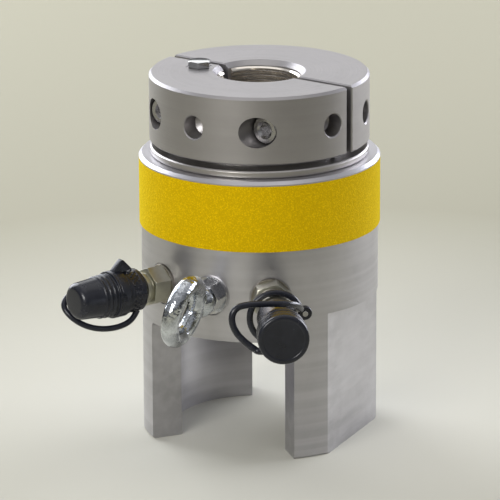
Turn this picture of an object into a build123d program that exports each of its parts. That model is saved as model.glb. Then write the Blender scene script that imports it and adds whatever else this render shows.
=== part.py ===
from build123d import *
import math
import os

# Hydraulic bolt tensioner: a one-piece cylinder and bridge, an annular piston, a split threaded
# puller collar, two quick couplings with dust caps and a lifting eye. All sizes are millimetres.
# The origin is on the tool's axis in the plane that the bridge stands on and +Z is up. The wide
# window of the bridge faces -Y. Angles on the side are measured about Z from -Y towards +X.

# Cylinder body and bridge
BODY_RADIUS = 74.2
BODY_HEIGHT = 179.5
BODY_EDGE = 1.9
FOOT_EDGE = 1.2
NUT_BORE_RADIUS = 54.5
NUT_BORE_HEIGHT = 84.0
NUT_BORE_CORNER = 5.0
STUD_BORE_RADIUS = 29.5
STUD_BORE_EDGE = 1.5
WINDOW_HEIGHT = 77.0
WINDOW_CORNER = 3.5
FRONT_WINDOW_HALF_ANGLE = 41.0
BACK_WINDOW_HALF_ANGLE = 30.0
SIDE_FLAT_DISTANCE = 63.5
SIDE_FLAT_HEIGHT = 91.6

# Grip band round the upper body
BAND_DROP = 2.7
BAND_HEIGHT = 41.8
BAND_THICKNESS = 1.2

# Annular cylinder, piston and seals
CYLINDER_OUTER_RADIUS = 62.0
CYLINDER_INNER_RADIUS = 36.0
CYLINDER_FLOOR = 122.0
INNER_TUBE_GAP = 2.9
OIL_SPACE = 4.0
PISTON_FIT = 0.05
PISTON_LIP_RADIUS = 68.3
PISTON_LIP_HEIGHT = 4.9
PISTON_EDGE = 0.9
PISTON_LIP_UNDERCUT = 1.0
SEAL_SETBACK = 4.0
SEAL_DEPTH = 5.0
SEAL_HEIGHT = 4.2
BACKUP_HEIGHT = 1.8
SEAL_GAP = 0.05
WIPER_DEPTH = 3.4
WIPER_HEIGHT = 4.5
WIPER_DROP = 0.8

# Split puller collar
COLLAR_RADIUS = 68.65
COLLAR_HEIGHT = 42.3
COLLAR_EDGE = 1.6
SPIGOT_RADIUS = 56.0
SPIGOT_HEIGHT = 3.9
CENTRING_RADIUS = 43.9
CENTRING_HEIGHT = 4.0
CENTRING_FIT = 0.1
CENTRING_FLOOR_GAP = 1.5
THREAD_RADIUS = 26.0
THREAD_MOUTH = 3.0
SLIT_WIDTH = 5.0
SLIT_ANGLE = 78.3
SLIT_EDGE = 0.8
HOLE_RISE = 20.5
TOMMY_HOLE_RADIUS = 7.1
TOMMY_HOLE_DEPTH = 12.0
TOMMY_HOLE_EDGE = 0.8
DRILL_POINT_ANGLE = 59.0
FRONT_TOMMY_ANGLES = (-77.5, 0.0, 77.5)
REAR_TOMMY_ANGLES = (110.5, 180.0, 249.5)

# Clamp screws that close the collar, and the screw that locks one of them
CLAMP_OFFSET = 39.1
CLAMP_SEAT = 36.1
CLAMP_HEAD_RADIUS = 9.0
CLAMP_HEAD_HEIGHT = 12.0
CLAMP_HEAD_EDGE = 1.0
CLAMP_HEAD_CLEARANCE = 0.6
CLAMP_RADIUS = 5.9
CLAMP_LENGTH = 54.0
CLAMP_THREAD_FIT = 0.1
CLAMP_HOLE_CLEARANCE = 0.7
CLAMP_END_GAP = 4.0
CLAMP_KEY_FLATS = 8.0
CLAMP_KEY_DEPTH = 5.5
CLAMP_KEY_EDGE = 0.9
LOCK_ALONG_SLIT = -36.2
LOCK_FROM_SLIT = 13.6
LOCK_RADIUS = 3.95
LOCK_DEPTH = 9.0
LOCK_THREAD_FIT = 0.05
LOCK_END_GAP = 1.0
LOCK_HEAD_FLATS = 13.0
LOCK_HEAD_HEIGHT = 4.6
LOCK_HEAD_EDGE = 0.8
LOCK_SEAT_RADIUS = 8.2
LOCK_SEAT_DEPTH = 0.5

# Side fittings: two hydraulic ports and a lifting eye at one height
FITTING_HEIGHT = 105.8
PORT_ANGLE = 29.7
SPOT_FACE_DEPTH = 1.2
SPOT_FACE_CLEARANCE = 1.0
PORT_THREAD_RADIUS = 6.5
PORT_THREAD_FIT = 0.05
PORT_THREAD_DEPTH = 13.0
PORT_STEM_LENGTH = 12.0
OIL_WAY_RADIUS = 2.0
OIL_WAY_PITCH_RADIUS = 49.0
PORT_SEAL_RADIUS = 12.2
PORT_SEAL_THICKNESS = 2.0

# What both quick couplings share; lengths run outwards from the spot face
HEX_FLATS = 22.0
HEX_LENGTH = 12.0
HEX_EDGE = 1.3
LEFT_HEX_TURN = 24.0
RIGHT_HEX_TURN = 16.0
NECK_RADIUS = 8.85
CHAMBER_RADIUS = 4.6
THROAT_RADIUS = 2.4
POPPET_RADIUS = 4.3
POPPET_LENGTH = 4.5
POPPET_STEM_RADIUS = 1.7
POPPET_GAP = 0.2
POPPET_SETBACK = 0.5
VALVE_SPRING_RADIUS = 3.4
VALVE_SPRING_WIRE = 0.9
VALVE_SPRING_TURNS = 3.5
SPRING_END_GAP = 0.1
RUBBER_EDGE = 0.9
RUBBER_GAP = 0.3

# Left coupling: nipple, retaining band and long dust cap
LEFT_NECK_LENGTH = 7.0
NECK_RING_RADIUS = 10.3
NECK_RING_LENGTH = 2.4
NECK_RING_EDGE = 0.5
KEEPER_RADIUS = 13.2
KEEPER_LENGTH = 12.0
KEEPER_FIT = 0.1
KEEPER_GAP = 0.4
NIPPLE_RADIUS = 8.0
NIPPLE_LENGTH = 23.6
NIPPLE_TIP_EDGE = 1.4
NIPPLE_GROOVE_DEPTH = 1.1
NIPPLE_GROOVE_WIDTH = 3.4
NIPPLE_GROOVE_SETBACK = 11.0
NIPPLE_THROAT_LENGTH = 5.5
NIPPLE_CHAMBER_LENGTH = 15.5
LEFT_CAP_FLANGE_RADIUS = 14.7
LEFT_CAP_FLANGE_LENGTH = 8.0
LEFT_CAP_ROOT_RADIUS = 13.2
LEFT_CAP_NOSE_RADIUS = 11.5
LEFT_CAP_END_WALL = 6.0
LEFT_CAP_END_GAP = 4.0
LEFT_CAP_ROUNDING = 2.8
LEFT_CAP_BEAD_COUNT = 3
LEFT_CAP_BEAD_PITCH = 3.2
LEFT_CAP_BEAD_HEIGHT = 0.6
TAB_BACK_LENGTH = 8.0
TAB_FRONT_LENGTH = 5.0
TAB_PEAK_SETBACK = 1.5
TAB_HEIGHT = 7.0
TAB_THICKNESS = 4.4

# Right coupling: socket body, locking sleeve, balls and short dust cap
RIGHT_NECK_LENGTH = 4.0
BARREL_RADIUS = 11.0
BARREL_LENGTH = 28.0
SOCKET_RADIUS = 9.8
SOCKET_LENGTH = 34.5
SOCKET_BORE_RADIUS = 8.1
SOCKET_BORE_DEPTH = 17.0
SOCKET_THROAT_LENGTH = 4.0
SOCKET_CHAMBER_LENGTH = 19.0
SLEEVE_RADIUS = 12.4
SLEEVE_FIT = 0.1
SLEEVE_OVERLAP = 4.0
SLEEVE_LAND_LENGTH = 12.0
SLEEVE_MOUTH_LENGTH = 4.0
SLEEVE_TRAVEL = 4.0
SLEEVE_EDGE = 0.7
SLEEVE_GRIP_DEPTH = 0.8
SLEEVE_GRIP_LENGTH = 4.0
SLEEVE_GRIP_SETBACK = 14.0
SLEEVE_SPRING_WIRE = 1.0
SLEEVE_SPRING_TURNS = 4.0
SNAP_RING_WIDTH = 1.2
SNAP_RING_ABOVE = 0.9
SNAP_RING_BELOW = 0.7
SNAP_RING_OPENING = 4.0
SNAP_RING_GAP = 0.05
BALL_RADIUS = 1.5
BALL_COUNT = 6
BALL_SETBACK = 2.5
BALL_FIT = 0.05
MOUTH_SEAL_STEP = 5.0
MOUTH_SEAL_SECTION = 0.9
MOUTH_SEAL_INSET = 0.15
MOUTH_SEAL_GAP = 0.05
RIGHT_CAP_OVERLAP = 10.0
RIGHT_CAP_RADIUS = 15.5
RIGHT_CAP_RIM_RADIUS = 15.1
RIGHT_CAP_RIM_LENGTH = 3.0
RIGHT_CAP_GROOVE_RADIUS = 14.3
RIGHT_CAP_GROOVE_LENGTH = 1.8
RIGHT_CAP_FLOOR_GAP = 0.4
RIGHT_CAP_END_WALL = 6.0
RIGHT_CAP_ROUNDING = 1.8

# Retaining ring that hangs on the barrel of the right coupling, with its eyelet and rivet
RETAINING_RADIUS = 15.75
RETAINING_SECTION = 2.0
RETAINING_CLEARANCE = 3.3
RETAINING_SEAT_GAP = 0.05
EYELET_REACH = 18.0
EYELET_ANGLE = 8.0
EYELET_RADIUS = 4.3
RIVET_RADIUS = 1.1
RIVET_FIT = 0.05
RIVET_HEAD_RADIUS = 1.8
RIVET_HEAD_HEIGHT = 0.8

# Straps of the dust caps: routes as (right, up, outwards) from the spot face of their coupling
LEFT_STRAP_RADIUS = 1.85
RIGHT_STRAP_RADIUS = 2.05
STRAP_END_GAP = 0.3
STRAP_ARC_SHARE = 0.45
STRAP_LUG_WALL = 0.9
STRAP_LUG_LENGTH = 6.5
LEFT_STRAP_ROUTE = (
    (5.2, -11.5, 24.0),
    (5.2, -15.7, 26.3),
    (4.6, -19.4, 31.8),
    (3.4, -20.8, 40.3),
    (1.6, -20.2, 49.0),
    (-1.4, -18.0, 56.4),
    (-5.4, -14.4, 62.0),
    (-9.8, -9.8, 65.6),
    (-14.0, -5.7, 65.8),
    (-16.4, -1.6, 61.6),
    (-14.6, 1.4, 57.2),
)
RIGHT_STRAP_ROUTE = (
    (14.2, 2.8, 33.8),
    (14.8, 4.8, 43.0),
    (12.3, 9.9, 51.0),
    (7.0, 13.8, 59.0),
    (-0.9, 15.6, 63.5),
    (-10.1, 16.6, 66.2),
    (-19.5, 17.1, 68.0),
    (-27.2, 15.8, 69.0),
    (-30.2, 9.8, 69.8),
    (-28.3, 1.9, 70.6),
    (-22.3, -5.2, 71.6),
    (-15.9, -9.8, 73.0),
)

# Lifting eye bolt with its lock nut and washer
EYE_THREAD_RADIUS = 5.0
EYE_THREAD_FIT = 0.05
EYE_THREAD_EDGE = 0.5
EYE_THREAD_DEPTH = 19.0
EYE_SHANK_DEPTH = 16.0
EYE_RING_RADIUS = 17.5
EYE_SECTION_RADIUS = 5.6
EYE_TURN = 13.0
EYE_BARE_THREAD = 4.2
EYE_COLLAR_RADIUS = 10.0
EYE_COLLAR_THICKNESS = 2.6
EYE_NECK_RADIUS = 6.0
EYE_NECK_LENGTH = 3.4
EYE_RING_REACH = 23.8
EYE_NUT_FLATS = 17.0
EYE_NUT_HEIGHT = 8.0
EYE_NUT_EDGE = 1.0
EYE_WASHER_RADIUS = 12.0
EYE_WASHER_THICKNESS = 2.4
EYE_WASHER_FIT = 0.4

# Heights and radii that follow from the sizes above
PISTON_BOTTOM = CYLINDER_FLOOR + OIL_SPACE
PISTON_TOP = BODY_HEIGHT + PISTON_LIP_HEIGHT
PISTON_OUTER_RADIUS = CYLINDER_OUTER_RADIUS - PISTON_FIT
PISTON_INNER_RADIUS = CYLINDER_INNER_RADIUS + PISTON_FIT
RECESS_FLOOR = PISTON_TOP - CENTRING_HEIGHT - CENTRING_FLOOR_GAP
INNER_TUBE_TOP = RECESS_FLOOR - INNER_TUBE_GAP
SEAL_BOTTOM = PISTON_BOTTOM + SEAL_SETBACK
SEAL_TOP = SEAL_BOTTOM + SEAL_HEIGHT
SEAL_GROOVE_TOP = SEAL_TOP + BACKUP_HEIGHT + 2 * SEAL_GAP
OUTER_SEAL_SIDES = (PISTON_OUTER_RADIUS, PISTON_OUTER_RADIUS - SEAL_DEPTH + SEAL_GAP)
INNER_SEAL_SIDES = (PISTON_INNER_RADIUS, PISTON_INNER_RADIUS + SEAL_DEPTH - SEAL_GAP)
WIPER_TOP = BODY_HEIGHT - WIPER_DROP
BAND_TOP = BODY_HEIGHT - BAND_DROP
BAND_RADIUS = BODY_RADIUS + BAND_THICKNESS
COLLAR_BOTTOM = PISTON_TOP + SPIGOT_HEIGHT
COLLAR_TOP = COLLAR_BOTTOM + COLLAR_HEIGHT
HOLE_HEIGHT = COLLAR_BOTTOM + HOLE_RISE
COLLAR_TURN = SLIT_ANGLE - 90
SPOT_FACE_RADIUS = BODY_RADIUS - SPOT_FACE_DEPTH

# Stations along the couplings and the eye bolt, from their spot faces
HEX_START = PORT_SEAL_THICKNESS
HEX_END = HEX_START + HEX_LENGTH
KEEPER_START = HEX_END + LEFT_NECK_LENGTH
KEEPER_END = KEEPER_START + KEEPER_LENGTH
NIPPLE_START = KEEPER_END + KEEPER_GAP
NIPPLE_END = NIPPLE_START + NIPPLE_LENGTH
NIPPLE_SEAT = NIPPLE_END - NIPPLE_THROAT_LENGTH
NIPPLE_CHAMBER = NIPPLE_SEAT - NIPPLE_CHAMBER_LENGTH
LEFT_CAP_START = NIPPLE_START + RUBBER_GAP
LEFT_CAP_FLANGE_END = LEFT_CAP_START + LEFT_CAP_FLANGE_LENGTH
LEFT_CAP_FLOOR = NIPPLE_END + LEFT_CAP_END_GAP
LEFT_CAP_END = LEFT_CAP_FLOOR + LEFT_CAP_END_WALL
BARREL_START = HEX_END + RIGHT_NECK_LENGTH
BARREL_END = BARREL_START + BARREL_LENGTH
SOCKET_END = BARREL_END + SOCKET_LENGTH
SOCKET_BORE_START = SOCKET_END - SOCKET_BORE_DEPTH
SOCKET_SEAT = SOCKET_BORE_START - SOCKET_THROAT_LENGTH
SOCKET_CHAMBER = SOCKET_SEAT - SOCKET_CHAMBER_LENGTH
SLEEVE_START = BARREL_END - SLEEVE_OVERLAP
SLEEVE_LAND_END = SOCKET_END - SLEEVE_MOUTH_LENGTH
SLEEVE_LAND_START = SLEEVE_LAND_END - SLEEVE_LAND_LENGTH
SLEEVE_LAND_RADIUS = SOCKET_RADIUS + SLEEVE_FIT
SLEEVE_POCKET_RADIUS = BARREL_RADIUS + SLEEVE_FIT
RETAINING_STATION = SLEEVE_START - SLEEVE_TRAVEL - RETAINING_CLEARANCE - RETAINING_SECTION
RETAINING_SAG = RETAINING_RADIUS - RETAINING_SECTION - BARREL_RADIUS - RETAINING_SEAT_GAP
RIGHT_CAP_START = SOCKET_END - RIGHT_CAP_OVERLAP
RIGHT_CAP_FLOOR = SOCKET_END + RIGHT_CAP_FLOOR_GAP
RIGHT_CAP_END = RIGHT_CAP_FLOOR + RIGHT_CAP_END_WALL
EYE_NUT_END = EYE_WASHER_THICKNESS + EYE_NUT_HEIGHT
EYE_COLLAR_START = EYE_NUT_END + EYE_BARE_THREAD
EYE_COLLAR_END = EYE_COLLAR_START + EYE_COLLAR_THICKNESS

# Cutters run past what they cut by FAR or by OVERRUN
FAR = 2 * BODY_RADIUS
OVERRUN = 0.5


def turned(*outline):
    """Solid of revolution about Z from a closed outline of (radius, height) points."""
    return revolve(Plane.XZ * make_face(Polyline(*outline, close=True)), axis=Axis.Z)


def tube(inner, outer, bottom, top):
    """Plain tube between two heights."""
    return turned((inner, bottom), (outer, bottom), (outer, top), (inner, top))


def rod(radius, bottom, top):
    """Plain rod between two heights."""
    return turned((0, bottom), (radius, bottom), (radius, top), (0, top))


def blind_hole(radius, depth, edge):
    """Cutter for a drilled hole whose chamfered mouth is at height 0 and faces +Z."""
    point = radius / math.tan(math.radians(DRILL_POINT_ANGLE))
    mouth = radius + edge
    return turned((0, -depth - point), (radius, -depth), (radius, -edge), (mouth, 0), (mouth, depth), (0, depth))


def hexagon(flats, bottom, top, edge):
    """Hexagonal prism whose corners are turned down at both ends."""
    corner = flats / math.sqrt(3)
    face = RegularPolygon(radius=flats / 2, side_count=6, major_radius=False)
    prism = Pos(0, 0, bottom) * extrude(face, top - bottom)
    envelope = turned(
        (0, bottom), (corner - edge, bottom), (corner, bottom + edge / 2),
        (corner, top - edge / 2), (corner - edge, top), (0, top),
    )
    return prism & envelope


def coil_spring(radius, wire, turns, bottom, top):
    """Coil spring of square wire between two seats."""
    low = bottom + SPRING_END_GAP + wire / 2
    rise = top - SPRING_END_GAP - wire / 2 - low
    line = Helix(pitch=rise / turns, height=rise, radius=radius)
    section = Plane(origin=line @ 0, z_dir=line % 0) * Rectangle(wire, wire)
    return Pos(0, 0, low) * sweep(section, path=line, is_frenet=True)


def side_plane(angle, height, reach):
    """Plane on the side of the tool: its Z points outwards, its X to the right and its Y up."""
    a = math.radians(angle)
    origin = (reach * math.sin(a), -reach * math.cos(a), height)
    return Plane(origin=origin, x_dir=(math.cos(a), math.sin(a), 0), z_dir=(math.sin(a), -math.cos(a), 0))


def at_fitting(angle, solid):
    """Solid modelled along Z from a spot face, placed on the side of the body."""
    return side_plane(angle, FITTING_HEIGHT, SPOT_FACE_RADIUS).location * solid


def left(solid):
    """Solid of the left coupling in its place."""
    return at_fitting(-PORT_ANGLE, solid)


def right(solid):
    """Solid of the right coupling in its place."""
    return at_fitting(PORT_ANGLE, solid)


# Cylinder body and bridge


def window(half_angle, facing):
    """Cutter for a window of the bridge with radial sides and rounded upper corners."""
    a = math.radians(half_angle)
    across, along = FAR * math.sin(a), FAR * math.cos(a)
    sector = make_face(Polyline((0, 0), (-across, -along), (across, -along), close=True))
    wedge = Pos(0, 0, -OVERRUN) * extrude(sector, WINDOW_HEIGHT + OVERRUN)
    upper_sides = wedge.edges().group_by(Axis.Z)[-1].sort_by(Axis.Y)[1:]
    return Rot(0, 0, facing) * fillet(upper_sides, WINDOW_CORNER)


def port_cut():
    """Cutter for a port: spot face, threaded hole and the drilling that meets the oil way."""
    spot_radius = PORT_SEAL_RADIUS + SPOT_FACE_CLEARANCE
    cut = rod(spot_radius, 0, spot_radius)
    cut += rod(PORT_THREAD_RADIUS, -PORT_THREAD_DEPTH, OVERRUN)
    return cut + rod(OIL_WAY_RADIUS, OIL_WAY_PITCH_RADIUS - SPOT_FACE_RADIUS, 0)


def cylinder_body():
    """Body in one piece: annular cylinder above, bridge with two windows and two side flats below."""
    body = turned(
        (NUT_BORE_RADIUS, 0), (BODY_RADIUS - FOOT_EDGE, 0), (BODY_RADIUS, FOOT_EDGE),
        (BODY_RADIUS, BAND_TOP), (BAND_RADIUS, BAND_TOP),
        (BAND_RADIUS, BODY_HEIGHT - BODY_EDGE), (BAND_RADIUS - BODY_EDGE, BODY_HEIGHT),
        (CYLINDER_OUTER_RADIUS, BODY_HEIGHT), (CYLINDER_OUTER_RADIUS, CYLINDER_FLOOR),
        (CYLINDER_INNER_RADIUS, CYLINDER_FLOOR), (CYLINDER_INNER_RADIUS, INNER_TUBE_TOP - STUD_BORE_EDGE),
        (CYLINDER_INNER_RADIUS - STUD_BORE_EDGE, INNER_TUBE_TOP),
        (STUD_BORE_RADIUS + STUD_BORE_EDGE, INNER_TUBE_TOP),
        (STUD_BORE_RADIUS, INNER_TUBE_TOP - STUD_BORE_EDGE),
        (STUD_BORE_RADIUS, NUT_BORE_HEIGHT + STUD_BORE_EDGE),
        (STUD_BORE_RADIUS + STUD_BORE_EDGE, NUT_BORE_HEIGHT),
        (NUT_BORE_RADIUS - NUT_BORE_CORNER, NUT_BORE_HEIGHT),
        (NUT_BORE_RADIUS, NUT_BORE_HEIGHT - NUT_BORE_CORNER),
    )
    groove_radius = CYLINDER_OUTER_RADIUS + WIPER_DEPTH
    body -= tube(CYLINDER_OUTER_RADIUS - OVERRUN, groove_radius, WIPER_TOP - WIPER_HEIGHT, WIPER_TOP)
    body -= window(FRONT_WINDOW_HALF_ANGLE, 0)
    body -= window(BACK_WINDOW_HALF_ANGLE, 180)
    for turn in (0, 180):
        beyond = Box(FAR, FAR, SIDE_FLAT_HEIGHT + OVERRUN, align=(Align.MIN, Align.CENTER, Align.MIN))
        body -= Rot(0, 0, turn) * Pos(SIDE_FLAT_DISTANCE, 0, -OVERRUN) * beyond
    for angle in (-PORT_ANGLE, PORT_ANGLE):
        oil_way = rod(OIL_WAY_RADIUS, FITTING_HEIGHT, CYLINDER_FLOOR + OVERRUN)
        body -= at_fitting(angle, port_cut())
        body -= Rot(0, 0, angle) * Pos(0, -OIL_WAY_PITCH_RADIUS, 0) * oil_way
    spot_radius = EYE_WASHER_RADIUS + SPOT_FACE_CLEARANCE
    body -= at_fitting(0, rod(spot_radius, 0, spot_radius))
    return body - at_fitting(0, blind_hole(EYE_THREAD_RADIUS, EYE_THREAD_DEPTH, EYE_THREAD_EDGE))


def grip_band():
    """Grip sleeve bonded round the upper body, flush with the rim above it."""
    return tube(BODY_RADIUS, BAND_RADIUS, BAND_TOP - BAND_HEIGHT, BAND_TOP)


def wiper_ring():
    """Wiper in the groove at the mouth of the cylinder, with its scraping lip uppermost."""
    inner, outer = CYLINDER_OUTER_RADIUS, CYLINDER_OUTER_RADIUS + WIPER_DEPTH - SEAL_GAP
    low, high = WIPER_TOP - WIPER_HEIGHT + SEAL_GAP, WIPER_TOP - SEAL_GAP
    relief = WIPER_DEPTH / 3
    return turned((inner + relief, low), (outer, low), (outer, high), (inner, high), (inner, high - relief))


# Piston and its seals


def piston():
    """Annular piston with seal grooves, a lip over the body and a recess that centres the collar."""
    recess_radius = CENTRING_RADIUS + CENTRING_FIT
    outer_groove = PISTON_OUTER_RADIUS - SEAL_DEPTH
    inner_groove = PISTON_INNER_RADIUS + SEAL_DEPTH
    return turned(
        (PISTON_INNER_RADIUS, PISTON_BOTTOM), (PISTON_OUTER_RADIUS, PISTON_BOTTOM),
        (PISTON_OUTER_RADIUS, SEAL_BOTTOM), (outer_groove, SEAL_BOTTOM),
        (outer_groove, SEAL_GROOVE_TOP), (PISTON_OUTER_RADIUS, SEAL_GROOVE_TOP),
        (PISTON_OUTER_RADIUS, BODY_HEIGHT), (PISTON_LIP_RADIUS - PISTON_LIP_UNDERCUT, BODY_HEIGHT),
        (PISTON_LIP_RADIUS, BODY_HEIGHT + PISTON_LIP_UNDERCUT),
        (PISTON_LIP_RADIUS, PISTON_TOP - PISTON_EDGE), (PISTON_LIP_RADIUS - PISTON_EDGE, PISTON_TOP),
        (recess_radius, PISTON_TOP), (recess_radius, RECESS_FLOOR), (PISTON_INNER_RADIUS, RECESS_FLOOR),
        (PISTON_INNER_RADIUS, SEAL_GROOVE_TOP), (inner_groove, SEAL_GROOVE_TOP),
        (inner_groove, SEAL_BOTTOM), (PISTON_INNER_RADIUS, SEAL_BOTTOM),
    )


def lip_seal(running_side, back_side):
    """Pressure seal between two radii, with a V groove that opens towards the oil."""
    middle = (running_side + back_side) / 2
    low, high = SEAL_BOTTOM + SEAL_GAP, SEAL_TOP
    return turned(
        (running_side, low), ((running_side + middle) / 2, low), (middle, (low + high) / 2),
        ((middle + back_side) / 2, low), (back_side, low), (back_side, high), (running_side, high),
    )


def backup_ring(running_side, back_side):
    """Backup ring that lies behind a pressure seal."""
    low = SEAL_TOP + SEAL_GAP
    return tube(min(running_side, back_side), max(running_side, back_side), low, low + BACKUP_HEIGHT)


# Split puller collar


def slit_cutter():
    """Cutter for the slit through the collar's axis, wider where the edges are broken."""
    near, wide = SLIT_WIDTH / 2, SLIT_WIDTH / 2 + SLIT_EDGE
    bottom, top = RECESS_FLOOR, COLLAR_TOP
    across = Polyline(
        (-near, bottom), (near, bottom), (near, top - SLIT_EDGE), (wide, top), (wide, top + OVERRUN),
        (-wide, top + OVERRUN), (-wide, top), (-near, top - SLIT_EDGE), close=True,
    )
    cutter = extrude(Plane.YZ * make_face(across), FAR, both=True)
    inner, outer = COLLAR_RADIUS - SLIT_EDGE, COLLAR_RADIUS + OVERRUN
    spread = wide + OVERRUN
    broken = make_face(Polyline((inner, -near), (outer, -spread), (outer, spread), (inner, near), close=True))
    for turn in (0, 180):
        cutter += Rot(0, 0, turn) * Pos(0, 0, COLLAR_BOTTOM - SPIGOT_HEIGHT) * extrude(broken, FAR)
    return Rot(0, 0, COLLAR_TURN) * cutter


def collar_halves():
    """Front and rear half of the collar before their holes are drilled."""
    boss_bottom = PISTON_TOP - CENTRING_HEIGHT
    whole = turned(
        (THREAD_RADIUS + COLLAR_EDGE, boss_bottom), (CENTRING_RADIUS - SLIT_EDGE, boss_bottom),
        (CENTRING_RADIUS, boss_bottom + SLIT_EDGE), (CENTRING_RADIUS, PISTON_TOP),
        (SPIGOT_RADIUS, PISTON_TOP), (SPIGOT_RADIUS, COLLAR_BOTTOM),
        (COLLAR_RADIUS - SLIT_EDGE, COLLAR_BOTTOM), (COLLAR_RADIUS, COLLAR_BOTTOM + SLIT_EDGE),
        (COLLAR_RADIUS, COLLAR_TOP - COLLAR_EDGE), (COLLAR_RADIUS - COLLAR_EDGE, COLLAR_TOP),
        (THREAD_RADIUS + THREAD_MOUTH, COLLAR_TOP), (THREAD_RADIUS, COLLAR_TOP - THREAD_MOUTH),
        (THREAD_RADIUS, boss_bottom + COLLAR_EDGE),
    )
    pieces = (whole - slit_cutter()).solids().sort_by(Axis.Y)
    return pieces[0], pieces[-1]


def drilled(half, angles):
    """Half of the collar with its tommy-bar holes drilled at one height."""
    for angle in angles:
        mouth = side_plane(COLLAR_TURN + angle, HOLE_HEIGHT, COLLAR_RADIUS)
        half -= mouth.location * blind_hole(TOMMY_HOLE_RADIUS, TOMMY_HOLE_DEPTH, TOMMY_HOLE_EDGE)
    return half


def at_clamp(solid):
    """Solid modelled along Z from the slit, placed on both clamp screw axes."""
    slit_plane = side_plane(COLLAR_TURN, HOLE_HEIGHT, 0)
    places = [slit_plane.location * Pos(side * CLAMP_OFFSET, 0, 0) for side in (-1, 1)]
    return [place * solid for place in places]


def at_lock(solid):
    """Solid modelled along Z, placed on the lock screw's axis."""
    return Rot(0, 0, COLLAR_TURN) * Pos(LOCK_ALONG_SLIT, -LOCK_FROM_SLIT, COLLAR_TOP - LOCK_SEAT_DEPTH) * solid


def collar_front_half():
    """Half of the collar that holds the clamp screws' heads and the lock screw."""
    half = drilled(collar_halves()[0], FRONT_TOMMY_ANGLES)
    hole = rod(CLAMP_RADIUS + CLAMP_HOLE_CLEARANCE, 0, CLAMP_SEAT + OVERRUN)
    hole += rod(CLAMP_HEAD_RADIUS + CLAMP_HEAD_CLEARANCE, CLAMP_SEAT, COLLAR_RADIUS)
    for cutter in at_clamp(hole):
        half -= cutter
    half -= at_lock(rod(LOCK_SEAT_RADIUS, 0, LOCK_SEAT_DEPTH + OVERRUN))
    return half - at_lock(rod(LOCK_RADIUS + LOCK_THREAD_FIT, -LOCK_DEPTH - LOCK_END_GAP, OVERRUN))


def collar_rear_half():
    """Half of the collar that the clamp screws are screwed into."""
    half = drilled(collar_halves()[1], REAR_TOMMY_ANGLES)
    depth = CLAMP_LENGTH - CLAMP_SEAT + CLAMP_END_GAP
    for cutter in at_clamp(rod(CLAMP_RADIUS + CLAMP_THREAD_FIT, -depth, 0)):
        half -= cutter
    return half


def clamp_screws():
    """Two socket head screws that hold the halves together."""
    head_top = CLAMP_SEAT + CLAMP_HEAD_HEIGHT
    screw = turned(
        (0, CLAMP_SEAT - CLAMP_LENGTH), (CLAMP_RADIUS, CLAMP_SEAT - CLAMP_LENGTH), (CLAMP_RADIUS, CLAMP_SEAT),
        (CLAMP_HEAD_RADIUS, CLAMP_SEAT), (CLAMP_HEAD_RADIUS, head_top - CLAMP_HEAD_EDGE),
        (CLAMP_HEAD_RADIUS - CLAMP_HEAD_EDGE, head_top), (0, head_top),
    )
    key = RegularPolygon(radius=CLAMP_KEY_FLATS / 2, side_count=6, major_radius=False)
    screw -= Pos(0, 0, head_top - CLAMP_KEY_DEPTH) * extrude(key, CLAMP_KEY_DEPTH + OVERRUN)
    mouth = CLAMP_KEY_FLATS / math.sqrt(3) + CLAMP_KEY_EDGE
    screw -= turned((0, head_top - mouth), (mouth, head_top), (mouth, head_top + OVERRUN), (0, head_top + OVERRUN))
    return Compound(children=at_clamp(screw))


def lock_screw():
    """Hexagon screw that locks the clamp screw below it."""
    return at_lock(rod(LOCK_RADIUS, -LOCK_DEPTH, 0) + hexagon(LOCK_HEAD_FLATS, 0, LOCK_HEAD_HEIGHT, LOCK_HEAD_EDGE))


# Both quick couplings


def port_seal():
    """Sealing washer between a coupling and its spot face."""
    return tube(PORT_THREAD_RADIUS, PORT_SEAL_RADIUS, 0, PORT_SEAL_THICKNESS)


def coupling_blank(neck_end, hex_turn):
    """Threaded stem, hexagon and neck of a coupling, without its oil way."""
    stem_radius = PORT_THREAD_RADIUS - PORT_THREAD_FIT
    blank = rod(stem_radius, -PORT_STEM_LENGTH, HEX_START + OVERRUN)
    blank += Rot(0, 0, hex_turn) * hexagon(HEX_FLATS, HEX_START, HEX_END, HEX_EDGE)
    return blank + rod(NECK_RADIUS, HEX_END - OVERRUN, neck_end)


def valve_way(chamber, seat, mouth):
    """Cutter for the oil way, the poppet's chamber, its conical seat and the throat."""
    cone = CHAMBER_RADIUS - THROAT_RADIUS
    return turned(
        (0, -PORT_STEM_LENGTH - OVERRUN), (OIL_WAY_RADIUS, -PORT_STEM_LENGTH - OVERRUN),
        (OIL_WAY_RADIUS, chamber), (CHAMBER_RADIUS, chamber), (CHAMBER_RADIUS, seat - cone),
        (THROAT_RADIUS, seat), (THROAT_RADIUS, mouth + OVERRUN), (0, mouth + OVERRUN),
    )


def poppet_back(seat):
    """Station of the poppet's back, where its spring pushes."""
    return seat - (POPPET_RADIUS - THROAT_RADIUS) - POPPET_GAP - POPPET_LENGTH


def poppet(seat, mouth):
    """Valve poppet that lies against its seat; its stem ends just inside the mouth."""
    cone_start = poppet_back(seat) + POPPET_LENGTH
    cone_end = cone_start + POPPET_RADIUS - POPPET_STEM_RADIUS
    tip = mouth - POPPET_SETBACK
    return turned(
        (0, poppet_back(seat)), (POPPET_RADIUS, poppet_back(seat)), (POPPET_RADIUS, cone_start),
        (POPPET_STEM_RADIUS, cone_end), (POPPET_STEM_RADIUS, tip), (0, tip),
    )


def valve_spring(chamber, seat):
    """Spring between the chamber's floor and the poppet."""
    return coil_spring(VALVE_SPRING_RADIUS, VALVE_SPRING_WIRE, VALVE_SPRING_TURNS, chamber, poppet_back(seat))


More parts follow.
